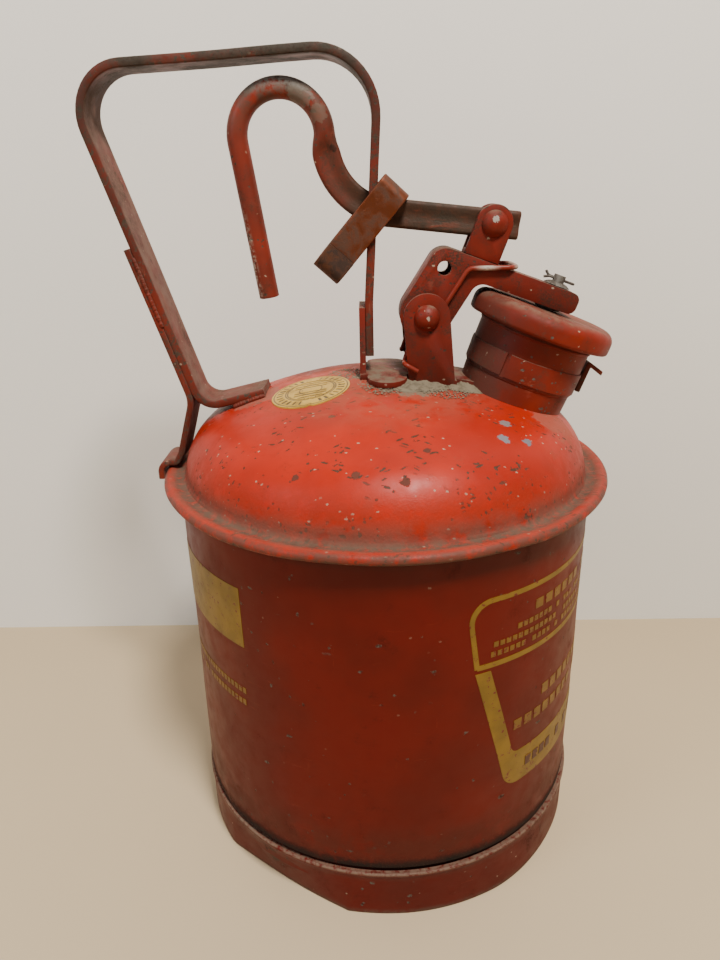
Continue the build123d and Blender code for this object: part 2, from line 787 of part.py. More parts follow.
clevis_inner_y = lever_flat_thickness / 2 + clevis_gap
clevis_outer_y = clevis_inner_y + clevis_sheet
with BuildPart() as lever_clevis:
    with BuildSketch(spout_section):
        with Locations((lever_pivot_along, arm_top + lever_pivot_height)):
            Circle(clevis_radius)
        with Locations((lever_pivot_along, arm_top + lever_pivot_height / 2)):
            Rectangle(2 * clevis_radius, lever_pivot_height)
    extrude(amount=clevis_outer_y, both=True)
    with BuildSketch(spout_section):
        with Locations((lever_pivot_along, arm_top + clevis_base + lever_pivot_height)):
            Rectangle(3 * clevis_radius, 2 * lever_pivot_height)
    extrude(amount=clevis_inner_y, both=True, mode=Mode.SUBTRACT)
    with BuildSketch(Plane.XZ):
        with Locations(lever_pivot):
            Circle(lever_pin_diameter / 2)
    extrude(amount=2 * clevis_outer_y, both=True, mode=Mode.SUBTRACT)
lever_clevis.part.label = "lever_clevis"
export_step(lever_clevis.part, "parts/lever_clevis.step")

with BuildPart() as lever_rivet:
    with BuildSketch(Plane.XZ):
        with Locations(lever_pivot):
            Circle(lever_pin_diameter / 2)
    extrude(amount=clevis_outer_y, both=True)
    add(rivet_head(lever_pivot, -clevis_outer_y, lever_head_diameter, lever_head_height))
    add(rivet_head(lever_pivot, clevis_outer_y, lever_head_diameter, lever_head_height))
lever_rivet.part.label = "lever_rivet"
export_step(lever_rivet.part, "parts/lever_rivet.step")

# The lever's middle line: tail, hook, a small step, a bend, and the straight
# part that ends beyond the pivot.
along_lever = unit(-lever_slope)
bend_end = lever_pivot - along_lever * lever_straight
bend_center = bend_end + unit(90 - lever_slope) * lever_bend
bend_start = bend_center - Vector(lever_bend, 0)
hook_center = bend_start + Vector(-hook_radius, lever_step)
tail_angle = 180 + tail_slope
tail_start = hook_center + unit(tail_angle) * hook_radius
tail_end = tail_start + unit(tail_slope - 90) * tail_length
blend_start = hook_center + unit(hook_blend) * hook_radius


def across_path(point, tangent):
    """Plane square to the lever's middle line, with its x axis across the mechanism."""
    return Plane(origin=(point.X, 0, point.Y), x_dir=(0, 1, 0), z_dir=(tangent.X, 0, tangent.Y))


with BuildPart() as trigger_lever:
    with BuildLine(Plane.XZ) as tube_path:
        CenterArc(pair(hook_center), hook_radius, hook_blend, tail_angle - hook_blend)
        Line(pair(tail_start), pair(tail_end))
    with BuildSketch(across_path(blend_start, unit(hook_blend + 90))):
        Circle(lever_tube / 2)
        Circle(lever_tube / 2 - lever_tube_wall, mode=Mode.SUBTRACT)
    sweep(path=tube_path.line)
    with BuildSketch(across_path(blend_start, unit(hook_blend - 90))):
        Circle(lever_tube / 2)
    with BuildSketch(across_path(bend_start, unit(-90))):
        RectangleRounded(lever_flat_thickness, lever_flat_height, lever_flat_thickness * 0.48)
    loft()
    with BuildLine(Plane.XZ) as flat_path:
        CenterArc(pair(bend_center), lever_bend, 180, 90 - lever_slope)
        Line(pair(bend_end), pair(lever_pivot + along_lever * lever_tip))
    with BuildSketch(across_path(bend_start, unit(-90))):
        RectangleRounded(lever_flat_thickness, lever_flat_height, lever_flat_thickness * 0.48)
    sweep(path=flat_path.line)
    with BuildSketch(Plane.XZ):
        with Locations(lever_pivot):
            Circle(lever_pin_diameter / 2 + pin_clearance)
    extrude(amount=lever_flat_thickness, both=True, mode=Mode.SUBTRACT)
trigger_lever.part.label = "trigger_lever"
export_step(trigger_lever.part, "parts/trigger_lever.step")

# ----------------------------------------------------------------------- handle

# The foot lies on the dome: its underside meets the dome at its inner end.
bail_foot_z = dome_height(-bail_foot_x) + strap_thickness / 2 - 0.2
bail_points = [
    (bail_foot_x, bail_foot_z),
    (bail_heel_x, crown_z + bail_heel_rise),
    (bail_rear_x, crown_z + bail_rear_rise),
    (bail_front_x, crown_z + bail_front_rise),
    (bail_leg_x, crown_z + bail_knee_rise),
    (bail_leg_x, crown_z + bail_leg_foot_rise),
]
bail_bends = [bail_heel_bend, bail_rear_bend, bail_front_bend, strap_width]
slot_middle = crown_z + (slot_bottom_rise + slot_top_rise) / 2
slot_length = slot_top_rise - slot_bottom_rise

with BuildPart() as handle_strap:
    with BuildSketch(Plane.XZ):
        with BuildLine() as bail_path:
            FilletPolyline(*bail_points, radius=bail_bends)
        trace(bail_path.line, line_width=strap_thickness)
    extrude(amount=strap_width / 2, both=True)
    with BuildSketch(Plane.YZ.offset(bail_leg_x - strap_width / 2)):
        with Locations((0, slot_middle)):
            SlotOverall(slot_length, slot_width, rotation=90)
    extrude(amount=strap_width, mode=Mode.SUBTRACT)
    add(dome_filling, mode=Mode.SUBTRACT)

# The slotted front leg is butt-welded to the rest of the strap above the slot.
leg_middle = (bail_leg_x, 0, crown_z + leg_joint_rise / 2)
with BuildPart() as handle_front_leg:
    add(handle_strap.part)
    with Locations(leg_middle):
        Box(2 * strap_width, 2 * strap_width, leg_joint_rise, mode=Mode.INTERSECT)
handle_front_leg.part.label = "handle_front_leg"
export_step(handle_front_leg.part, "parts/handle_front_leg.step")

with BuildPart() as bail_handle:
    add(handle_strap.part)
    with Locations(leg_middle):
        Box(2 * strap_width, 2 * strap_width, leg_joint_rise, mode=Mode.SUBTRACT)
bail_handle.part.label = "bail_handle"
export_step(bail_handle.part, "parts/bail_handle.step")

# The brace lies on the outside of the rear leg and hooks over the rolled rim.
rear_leg = Vector(bail_rear_x, crown_z + bail_rear_rise) - Vector(bail_heel_x, crown_z + bail_heel_rise)
up_leg = rear_leg.normalized()
out_of_leg = Vector(-up_leg.Y, up_leg.X)
heel = Vector(bail_heel_x, crown_z + bail_heel_rise)
brace_line = heel + out_of_leg * ((strap_thickness + brace_thickness) / 2)


def brace_at(height):
    """Point of the brace's middle line at a height, along the rear leg."""
    return brace_line + up_leg * ((height - brace_line.Y) / up_leg.Y)


hook_clear = bead_radius + brace_hook_gap + brace_thickness / 2
hook_top = rim_height + hook_clear
with BuildPart() as handle_brace:
    with BuildSketch(Plane.XZ):
        with BuildLine() as brace_path:
            FilletPolyline(
                brace_at(crown_z + brace_top_rise),
                brace_at(crown_z + brace_knee_rise),
                (-dome_radius - 1.5, hook_top + hook_clear),
                (-bead_ring_radius + bead_radius, hook_top),
                (-bead_ring_radius - hook_clear, hook_top),
                (-bead_ring_radius - hook_clear, rim_height - bead_radius),
                radius=[12, 8, 1.6, hook_clear * 0.95],
            )
        trace(brace_path.line, line_width=brace_thickness)
    extrude(amount=strap_width / 2, both=True)
    add(top_dome.part, mode=Mode.SUBTRACT)
handle_brace.part.label = "handle_brace"
export_step(handle_brace.part, "parts/handle_brace.step")

# flat strip bent into a closed loop
ring_inner_y = strap_width / 2 + ring_clearance
ring_outer_y = ring_inner_y + ring_sheet
ring_along = unit(ring_angle)
ring_middle = (ring_x, 0, crown_z + ring_rise)
ring_across = (ring_along.Y, 0, -ring_along.X)
ring_plane = Plane(origin=ring_middle, x_dir=(ring_along.X, 0, ring_along.Y), z_dir=ring_across)
with BuildPart() as keeper_ring:
    with BuildSketch(ring_plane):
        RectangleRounded(ring_length, 2 * ring_outer_y, ring_corner)
        RectangleRounded(
            ring_length - 2 * ring_sheet,
            2 * ring_inner_y,
            ring_corner - ring_sheet,
            mode=Mode.SUBTRACT,
        )
    extrude(amount=ring_strip / 2, both=True)
keeper_ring.part.label = "keeper_ring"
export_step(keeper_ring.part, "parts/keeper_ring.step")
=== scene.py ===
# %% [markdown]
# # Safety gas can
# A one-gallon safety can: a red steel drum with a pressed dome, a slanted
# spout under a sprung lid, a strap handle and a trigger that lifts the lid.
# The lesson builds its looks round a fixed CAD frame, in metres. Lengths in
# the cells are millimetres and are scaled once, where a mesh is made.

# %% Load the frame
from math import atan2, cos, degrees, hypot, pi, radians, sin, sqrt

import bmesh
import bpy
from mathutils import Matrix, Vector, noise


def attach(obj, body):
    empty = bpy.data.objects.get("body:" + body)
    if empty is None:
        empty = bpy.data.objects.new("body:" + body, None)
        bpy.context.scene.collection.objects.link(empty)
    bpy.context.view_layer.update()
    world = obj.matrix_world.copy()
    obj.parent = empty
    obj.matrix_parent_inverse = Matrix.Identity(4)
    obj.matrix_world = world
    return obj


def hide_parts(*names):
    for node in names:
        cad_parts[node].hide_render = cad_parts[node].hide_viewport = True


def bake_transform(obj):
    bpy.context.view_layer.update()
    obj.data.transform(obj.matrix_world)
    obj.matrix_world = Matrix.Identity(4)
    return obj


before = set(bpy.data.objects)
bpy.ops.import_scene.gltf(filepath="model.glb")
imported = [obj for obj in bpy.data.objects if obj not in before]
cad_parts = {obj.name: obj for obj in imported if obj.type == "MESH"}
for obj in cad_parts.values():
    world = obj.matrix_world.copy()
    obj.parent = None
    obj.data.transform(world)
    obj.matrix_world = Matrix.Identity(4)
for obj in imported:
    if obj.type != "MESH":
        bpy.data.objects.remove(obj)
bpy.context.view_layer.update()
print("nodes:", len(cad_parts))

# %% [markdown]
# ## The camera
# The can stands on a table and is seen from a little above, with a short
# lens. The camera's matrix is put together from its yaw, pitch and roll.

# %% Camera
MM = 0.001
camera_place = Vector((-5.8, -307.8, 283.2)) * MM
yaw, pitch, roll = -0.01595, -0.3785, -0.0221
ahead = Vector((sin(yaw) * cos(pitch), cos(yaw) * cos(pitch), sin(pitch)))
level = Vector((cos(yaw), -sin(yaw), 0))
upright = level.cross(ahead)
across = level * cos(roll) + upright * sin(roll)
upward = upright * cos(roll) - level * sin(roll)
lens = bpy.data.cameras.new("camera")
lens.sensor_fit = "VERTICAL"
lens.sensor_height = 24.0
lens.lens = 18.5
lens.clip_start = 0.01
camera = bpy.data.objects.new("camera", lens)
camera.matrix_world = Matrix((across, upward, -ahead)).transposed().to_4x4()
camera.location = camera_place
bpy.context.collection.objects.link(camera)
bpy.context.scene.camera = camera
print("vertical view:", round(degrees(lens.angle), 1), "degrees")

# %% [markdown]
# ## Wiring materials like sums
# Shader nodes are easier to read as arithmetic. `Wire` wraps one socket, and
# its operators add Math nodes. `Finish` makes every other node with one
# method, and ends in one Principled shader.

# %% Wire
class Wire:
    """One output of a material; sums on it add Math nodes."""

    def __init__(self, finish, socket):
        self.finish, self.socket = finish, socket

    def maths(self, operation, *terms):
        return self.finish.node("ShaderNodeMath", {"operation": operation}, dict(enumerate(terms)))

    def __add__(self, other):
        return self.maths("ADD", self, other)

    def __sub__(self, other):
        return self.maths("SUBTRACT", self, other)

    def __rsub__(self, other):
        return self.maths("SUBTRACT", other, self)

    def __mul__(self, other):
        return self.maths("MULTIPLY", self, other)

    def __pow__(self, other):
        return self.maths("POWER", self, other)

    def most(self, other):
        return self.maths("MAXIMUM", self, other)

    def least(self, other):
        return self.maths("MINIMUM", self, other)

    def size(self):
        return self.maths("ABSOLUTE", self)

    def rise(self, low, high):
        """0 below low, 1 above high, smooth between; falls if high is the lower."""
        ends = {0: self, 1: low, 2: high}
        return self.finish.node("ShaderNodeMapRange", {"interpolation_type": "SMOOTHSTEP"}, ends)

    def near(self, middle, reach):
        """1 at a value, 0 a reach away from it."""
        return (self - middle).size().rise(reach, 0)

    __radd__ = __add__
    __rmul__ = __mul__


# %% Finish
class Finish:
    """A material under construction, on the piece's own coordinates."""

    def __init__(self, name):
        self.material = bpy.data.materials.new(name)
        self.material.use_nodes = True
        self.tree = self.material.node_tree
        self.tree.nodes.clear()
        self.spot = self.node("ShaderNodeTexCoord", out="Object")
        self.face = self.node("ShaderNodeTexCoord", out="Normal")

    def node(self, kind, settings=None, sockets=None, out=0):
        made = self.tree.nodes.new(kind)
        for key, value in (settings or {}).items():
            setattr(made, key, value)
        for key, value in (sockets or {}).items():
            if isinstance(value, Wire):
                self.tree.links.new(value.socket, made.inputs[key])
            else:
                made.inputs[key].default_value = value
        return Wire(self, made.outputs[out])

    def axis(self, name, source=None):
        return self.node("ShaderNodeSeparateXYZ", {}, {0: source or self.spot}, name)

    def stretched(self, scale, shift=(0, 0, 0), turn=0.0):
        """The piece's coordinates turned about Z, scaled and shifted, for long marks."""
        values = {"Vector": self.spot, "Rotation": (0, 0, radians(turn))}
        turned_spot = self.node("ShaderNodeMapping", {}, values)
        return self.node("ShaderNodeMapping", {}, {"Vector": turned_spot, "Scale": scale, "Location": shift})

    def cloud(self, size, detail=3.0, rough=0.55, spot=None, swirl=0.0, out=0):
        """Noise with features of about a size in millimetres."""
        values = {"Scale": 1000 / size, "Detail": detail, "Roughness": rough, "Distortion": swirl}
        return self.node("ShaderNodeTexNoise", {}, {"Vector": spot or self.spot, **values}, out)

    def flecks(self, size, share, spot=None):
        """Separate small marks: a share of random cells, each with a ragged dot."""
        values = {"Vector": spot or self.spot, "Scale": 1000 / size}
        gap = self.node("ShaderNodeTexVoronoi", {}, values, "Distance")
        pick = self.axis("X", self.node("ShaderNodeTexVoronoi", {}, values, "Color"))
        ragged = gap + (self.cloud(size * 0.35, 3, 0.7) - 0.5) * 0.7
        return ragged.rise(0.30, 0.24) * pick.rise(1 - share, 1 - share + 0.02)

    def tint(self, share, first, second):
        """Two colours mixed by a share."""
        ends = {0: share, 6: first, 7: second}
        return self.node("ShaderNodeMix", {"data_type": "RGBA"}, ends, 2)

    def patch(self, centre, reach):
        """1 in a ragged spot round a point in millimetres, 0 outside it."""
        point = [value * MM for value in centre]
        gap = self.node("ShaderNodeVectorMath", {"operation": "DISTANCE"}, {0: self.spot, 1: point}, "Value")
        return (gap * 1000 + (self.cloud(reach, 5, 0.7) - 0.5) * reach * 2.4).rise(reach, reach * 0.85)

    def mark(self, name):
        """A number kept on the mesh, such as how near an edge a face lies."""
        return self.node("ShaderNodeAttribute", {"attribute_name": name}, {}, "Fac")

    def done(self, colour, rough, metal=0.0, height=None, bump=0.2, **fixed):
        """Ends the material; height is in millimetres."""
        sockets = {"Base Color": colour, "Roughness": rough, "Metallic": metal}
        sockets.update({key.replace("_", " "): value for key, value in fixed.items()})
        if height is not None:
            relief = {"Height": height, "Distance": MM, "Strength": bump}
            sockets["Normal"] = self.node("ShaderNodeBump", {}, relief)
        shader = self.node("ShaderNodeBsdfPrincipled", {}, sockets)
        end = self.tree.nodes.new("ShaderNodeOutputMaterial")
        self.tree.links.new(shader.socket, end.inputs["Surface"])
        return self.material


print("finish helpers ready")

# %% [markdown]
# ## Paints and metals
# The can wears one red enamel that has aged in different ways: bright and
# chipped on the dome, dull and scuffed on the wall, brown with grime on the
# handle and the mechanism. The dome's red is painted far lighter than the
# wall's and the foot band's: faded paint, with painted light on the top that
# faces the lamp and painted shade on the sides. One function mixes all of
# them, and each paint adds its own dust, bare spots, dirt lines, darker bands
# and painted shade as extra coats.

# %% Worn enamel
def red_paint(name, fresh, aged, bare=(0.10, 0.085, 0.07, 1), chips=0.5, chip_size=3.0,
              specks=0.1, grime=0.3, soil=(0.045, 0.025, 0.015, 1), gloss=0.32, wear=0.5, coats=()):
    """Red enamel with blotches, soil, chips down to metal, light specks and worn edges."""
    finish = Finish(name)
    paint = finish.tint(finish.cloud(38, 3).rise(0.36, 0.66), fresh, aged)
    paint = finish.tint(finish.cloud(5, 4, 0.65).rise(0.52, 0.74) * 0.4, paint, aged)
    dirty = finish.cloud(14, 6, 0.68, swirl=0.4).rise(0.66 - grime * 0.4, 0.86 - grime * 0.3)
    dirty = dirty * finish.cloud(0.9, 2).rise(0.3, 0.6)
    paint = finish.tint(dirty * min(1, 0.4 + grime), paint, soil)
    zones = finish.cloud(24, 2).rise(0.42, 0.62)
    ragged = finish.cloud(chip_size, 6, 0.62, swirl=0.6)
    lost = (ragged - (1 - zones) * 0.09).rise(0.74 - chips * 0.16, 0.755 - chips * 0.16)
    dots = finish.flecks(chip_size * 0.9, specks)
    slips = finish.flecks(chip_size * 1.1, specks * 1.4, finish.stretched((0.4, 1.5, 1), (3, 1, 2), 24))
    crossing = finish.stretched((0.45, 1.7, 1), (5, 2, 1), -32)
    slips = slips.most(finish.flecks(chip_size * 1.3, specks * 1.3, crossing))
    edge = finish.mark("edge") * finish.cloud(2.2, 4, 0.7).rise(0.66 - wear * 0.3, 0.7 - wear * 0.3)
    crowded = finish.cloud(20, 3, 0.6).rise(0.44, 0.60) * 0.9 + 0.1
    lost = lost.most(dots.most(slips).least(crowded.rise(0.3, 0.6))).most(edge)
    under = finish.tint(finish.cloud(1.3, 3).rise(0.35, 0.65), bare, soil)
    colour = finish.tint(lost, paint, under)
    pale = finish.flecks(1.5, specks * 0.3, finish.stretched((0.7, 1.2, 1), (7, 3, 5)))
    colour = finish.tint(pale * 0.8, colour, (0.36, 0.27, 0.19, 1))
    rough = finish.cloud(7, 4).rise(0.2, 0.8) * 0.16 + gloss + dirty * 0.25 + lost * 0.15
    height = finish.cloud(2.6, 2) * 0.05 - lost * 0.12 + dirty * finish.cloud(0.7, 2) * 0.08
    for coat in coats:
        share, tone, dullness, grain = coat(finish)
        colour = finish.tint(share, colour, tone)
        rough = rough + share * dullness
        height = height + share * finish.cloud(grain, 3) * 0.22
    return finish.done(colour, rough.least(0.95), 0.0, height, 0.55, Specular_IOR_Level=0.2)


def dust_coat(tone, low=0.55, amount=0.8, dullness=0.45):
    """Dust that settles on faces looking up."""
    def coat(finish):
        up = finish.axis("Z", finish.face).rise(low, 0.98)
        patchy = finish.cloud(6, 5, 0.65).rise(0.36, 0.62)
        return up * patchy * amount, tone, dullness, 0.8
    return coat


def band_coat(axis, middle, reach, tone, amount=0.9, dullness=0.4, size=4.0):
    """A line of colour at a height, a depth or a length in millimetres: dirt, wear, darker bands and painted
    shade.
    """
    def coat(finish):
        line = (finish.axis(axis) * 1000).near(middle, reach)
        return line * finish.cloud(size, 5, 0.65).rise(0.32, 0.56) * amount, tone, dullness, 1.0
    return coat


def beyond_coat(axis, start, full, tone, amount=0.9, dullness=0.1, size=7.0):
    """Wear that covers everything past a length, in patches at its border."""
    def coat(finish):
        past = (finish.axis(axis) * 1000 + (finish.cloud(6, 4) - 0.5) * 14).rise(start, full)
        patches = finish.cloud(size, 5, 0.65).rise(0.22, 0.5) * 0.35 + 0.65
        return past * patches * amount, tone, dullness, 1.0
    return coat


def spot_coat(centre, reach, tone, amount=0.9, dullness=0.35):
    """A ragged spot round one point."""
    def coat(finish):
        return finish.patch(centre, reach) * amount, tone, dullness, 0.9
    return coat


def lit_and_rubbed_face_coat(tone):
    """Paler patches on the handle's faces that look towards +X, the lamp's side: painted light, with the look
    of dry rubbed paint.
    """
    def coat(finish):
        facing = finish.axis("X", finish.face).rise(0.55, 0.9)
        low = (finish.axis("X") * 1000).rise(-30, -50)
        return facing * low * finish.cloud(8, 5, 0.65).rise(0.3, 0.62) * 0.75, tone, 0.2, 0.8
    return coat


def ring_coat(inner, outer, tone, amount=0.85, size=5.0, soft=1.2, dullness=0.4):
    """Dirt between two distances from the can's axis."""
    def coat(finish):
        x, y = finish.axis("X") * 1000, finish.axis("Y") * 1000
        gap = (x * x + y * y) ** 0.5
        inside = gap.rise(inner - soft, inner + soft) * gap.rise(outer + soft, outer - soft)
        return inside * finish.cloud(size, 5, 0.68).rise(0.3, 0.56) * amount, tone, dullness, 1.0
    return coat


def worn_side_coat(tone):
    """Speckled wear where the trigger's tail is gripped, on its -X side."""
    def coat(finish):
        facing = finish.axis("X", finish.face).rise(-0.25, -0.75)
        low = (finish.axis("Z") * 1000).near(256, 26)
        return facing * low * finish.cloud(1.4, 4, 0.7).rise(0.46, 0.56), tone, 0.1, 0.8
    return coat


def scuff_coat(scale, tone, amount=0.5, limit=0.62):
    """Long thin rub marks."""
    def coat(finish):
        marks = finish.cloud(16, 5, 0.7, finish.stretched(scale, (0.3, 0.1, 0.7))).rise(limit, limit + 0.09)
        return marks * finish.cloud(30, 2).rise(0.44, 0.6) * amount, tone, 0.12, 1.2
    return coat


print("coats: dust, band, spot, ring, scuff")

# %% The can's paints
# Painted light: this red is far lighter than the wall's, for faded paint and for the lit top that faces the
# lamp.
dome_red_faded_and_lit = red_paint(
    "dome_red_faded_and_lit", (0.41, 0.0155, 0.0022, 1), (0.31, 0.011, 0.0018, 1),
    bare=(0.07, 0.035, 0.022, 1), chips=0.44,
    chip_size=2.2, specks=0.19, grime=0.18, gloss=0.33, soil=(0.055, 0.022, 0.012, 1),
    coats=(
        scuff_coat((1, 1, 1.5), (0.25, 0.035, 0.018, 1), 0.5, 0.58),
        scuff_coat((0.6, 3, 1), (0.52, 0.10, 0.05, 1), 0.3, 0.62),
        spot_coat((43, -51, 196), 2.6, (0.15, 0.17, 0.19, 1)),
        spot_coat((52, -49, 194), 2.0, (0.13, 0.15, 0.17, 1)),
        spot_coat((45, -41, 199), 2.4, (0.16, 0.15, 0.15, 1)),
        spot_coat((-20, -42, 203), 1.3, (0.10, 0.05, 0.03, 1)),
        spot_coat((-11, -74, 192), 1.6, (0.08, 0.03, 0.018, 1)),
        spot_coat((-32, -70, 190), 1.4, (0.07, 0.03, 0.02, 1)),
        spot_coat((14, -64, 197), 1.5, (0.07, 0.03, 0.02, 1)),
        spot_coat((6, -76, 190), 1.8, (0.07, 0.03, 0.02, 1)),
        band_coat("Z", 208, 9, (0.30, 0.085, 0.05, 1), 0.55, 0.3, 7.0),
        spot_coat((-52, -6, 200), 12, (0.24, 0.12, 0.085, 1), 0.6),
        spot_coat((64, -22, 190), 13, (0.30, 0.10, 0.065, 1), 0.6),
        spot_coat((8, -8, 209), 19, (0.15, 0.125, 0.085, 1), 0.9),
        spot_coat((30, 4, 206), 22, (0.17, 0.14, 0.09, 1), 0.85),
        # Dark brown on the lower half of the rolled rim.
        band_coat("Z", 167.4, 1.7, (0.050, 0.034, 0.024, 1), 0.9, 0.2, 5.0),
        ring_coat(80.0, 96, (0.24, 0.022, 0.008, 1), 0.5, 4.0, 4.0, 0.2),
        ring_coat(85.4, 90.2, (0.070, 0.046, 0.032, 1), 0.9, 3.0, 1.2),
        ring_coat(84.6, 92.5, (0.125, 0.085, 0.060, 1), 0.5, 9.0, 1.4),
        ring_coat(93.2, 96, (0.070, 0.048, 0.034, 1), 0.75, 5.0, 0.8, 0.1),
    ),
)
# Painted shade: this red is a darker copy of the dome's enamel, for aged paint and for the can's sides in
# shade.
wall_red_aged_and_shaded = red_paint(
    "wall_red_aged_and_shaded", (0.116, 0.0030, 0.0003, 1), (0.090, 0.0026, 0.0003, 1),
    chips=0.14, chip_size=2.2, specks=0.03,
    grime=0.22, gloss=0.36, soil=(0.040, 0.0050, 0.002, 1),
    coats=(
        scuff_coat((1, 1, 7), (0.22, 0.028, 0.012, 1), 0.35, 0.62),
        scuff_coat((5, 5, 0.8), (0.22, 0.028, 0.012, 1), 0.3, 0.64),
        band_coat("Z", 27.4, 6.0, (0.030, 0.012, 0.007, 1), 0.9, 0.4, 3.0),
        # Near-black round the groove over the foot band: painted shade in the groove, and grime on the wall
        # just above it.
        band_coat("Z", 26.6, 4.8, (0.010, 0.008, 0.006, 1), 1.0, 0.5, 30.0),
        band_coat("Z", 26.4, 4.0, (0.010, 0.008, 0.006, 1), 1.0, 0.5, 60.0),
        # Darker towards the bottom of the wall.
        band_coat("Z", 36, 16, (0.060, 0.015, 0.008, 1), 0.5, 0.2, 9.0),
        # Darker just under the rim.
        band_coat("Z", 166, 5, (0.06, 0.014, 0.008, 1), 0.6, 0.2, 12.0),
    ),
)
# Painted shade: the foot band's red is darker still, for aged paint and for shade low on the can.
foot_red_aged_and_shaded = red_paint(
    "foot_red_aged_and_shaded", (0.098, 0.0020, 0.0002, 1), (0.076, 0.0018, 0.0002, 1),
    chips=0.26, chip_size=2.6, specks=0.06,
    grime=0.35, gloss=0.40, soil=(0.04, 0.010, 0.006, 1),
    coats=(
        scuff_coat((1, 1, 9), (0.19, 0.030, 0.014, 1), 0.3, 0.60),
        band_coat("Z", 23.6, 1.1, (0.17, 0.115, 0.08, 1), 0.9, 0.2, 2.0),
        spot_coat((-52, -71, 14), 5, (0.075, 0.055, 0.04, 1), 0.8),
        band_coat("Z", 0.0, 3.5, (0.10, 0.075, 0.055, 1), 0.8, 0.3, 3.0),
    ),
)
strap_red = red_paint(
    "strap_red", (0.150, 0.019, 0.009, 1), (0.085, 0.016, 0.009, 1),
    bare=(0.062, 0.040, 0.028, 1), chips=0.40,
    chip_size=2.2, specks=0.14, grime=0.55, gloss=0.42, soil=(0.050, 0.034, 0.023, 1), wear=0.35,
    coats=(
        # Painted light: paler patches on the handle's faces turned towards the lamp.
        lit_and_rubbed_face_coat((0.17, 0.10, 0.075, 1)),
        scuff_coat((3, 3, 0.6), (0.27, 0.10, 0.065, 1), 0.4, 0.58),
        band_coat("Z", 336, 52, (0.030, 0.024, 0.018, 1), 0.95, 0.1, 14.0),
        band_coat("Z", 333, 14, (0.060, 0.054, 0.042, 1), 0.6, 0.0, 1.6),
        dust_coat((0.12, 0.09, 0.06, 1), 0.6, 0.4, 0.2),
    ),
)
mech_red = red_paint(
    "mech_red", (0.175, 0.0155, 0.0075, 1), (0.105, 0.013, 0.0075, 1),
    bare=(0.050, 0.026, 0.018, 1), chips=0.34,
    chip_size=1.5, specks=0.10, grime=0.55, gloss=0.38, soil=(0.048, 0.019, 0.011, 1), wear=0.5,
    coats=(
        dust_coat((0.16, 0.125, 0.085, 1), 0.45, 0.8),
        scuff_coat((2, 2, 2), (0.26, 0.055, 0.032, 1), 0.4, 0.6),
        spot_coat((43.7, -8.4, 270.5), 1.5, (0.34, 0.30, 0.26, 1)),
        spot_coat((17.4, -18.6, 234.8), 0.9, (0.34, 0.28, 0.22, 1)),
    ),
)
lever_red = red_paint(
    "lever_red", (0.215, 0.026, 0.013, 1), (0.120, 0.020, 0.011, 1),
    bare=(0.070, 0.048, 0.034, 1), chips=0.44,
    chip_size=1.8, specks=0.14, grime=0.5, gloss=0.38, soil=(0.040, 0.024, 0.014, 1), wear=0.6,
    coats=(
        band_coat("Z", 322, 26, (0.066, 0.052, 0.040, 1), 1.0, 0.05, 6.0),
        band_coat("Z", 323, 9, (0.26, 0.235, 0.205, 1), 0.95, -0.1, 1.5),
        beyond_coat("X", -27, -8, (0.048, 0.029, 0.018, 1), 0.9),
        band_coat("X", 22, 20, (0.034, 0.027, 0.019, 1), 0.85, 0.1, 5.0),
        spot_coat((-29, -3, 315.5), 4.5, (0.15, 0.125, 0.10, 1), 0.5, -0.1),
        spot_coat((-23, -4, 308.5), 3.6, (0.15, 0.115, 0.085, 1), 0.45, -0.1),
        spot_coat((-18, -3, 296.5), 1.5, (0.030, 0.016, 0.011, 1), 0.7),
        scuff_coat((0.5, 3, 3), (0.17, 0.040, 0.022, 1), 0.6, 0.56),
        worn_side_coat((0.33, 0.26, 0.20, 1)),
    ),
)
spout_red = red_paint(
    "spout_red", (0.215, 0.0150, 0.0050, 1), (0.125, 0.0125, 0.0050, 1),
    bare=(0.10, 0.085, 0.07, 1), chips=0.36,
    chip_size=1.6, specks=0.12, grime=0.42, gloss=0.42, soil=(0.060, 0.032, 0.020, 1), wear=0.5,
    coats=(
        dust_coat((0.17, 0.105, 0.070, 1), 0.5, 0.75),
        scuff_coat((2, 2, 5), (0.28, 0.07, 0.04, 1), 0.45, 0.6),
        beyond_coat("X", 54, 42, (0.045, 0.030, 0.021, 1), 0.55, 0.2, 4.0),
    ),
)
print("paints:", dome_red_faded_and_lit.name, wall_red_aged_and_shaded.name, strap_red.name, mech_red.name)


# %% Metals, rubber and decal yellow
def worn_metal(name, clean, tarnish, rough=0.42, metal=0.85, size=4.0, share=0.5, lines=(1, 1, 1),
               relief=0.10):
    """Bare metal with stains, fine brushing along a direction, and worn edges."""
    finish = Finish(name)
    stain = finish.cloud(size, 6, 0.66, swirl=0.5).rise(0.62 - share * 0.3, 0.78 - share * 0.25)
    brushed = finish.cloud(3, 4, 0.6, finish.stretched(lines))
    colour = finish.tint(stain, finish.tint(brushed * 0.5, clean, tarnish), tarnish)
    edge = finish.mark("edge") * finish.cloud(2, 3).rise(0.4, 0.5)
    colour = finish.tint(edge * 0.7, colour, clean)
    pits = finish.flecks(1.6, 0.2)
    height = brushed * relief - pits * 0.08 + stain * finish.cloud(0.6, 2) * 0.1
    return finish.done(colour, stain * 0.3 + brushed * 0.12 + rough, (1 - stain * 0.7) * metal, height, 0.5)


copper = worn_metal(
    "ring_copper", (0.150, 0.032, 0.007, 1), (0.070, 0.026, 0.012, 1), 0.36, 0.6, 9, 0.6, (1, 6, 1)
)
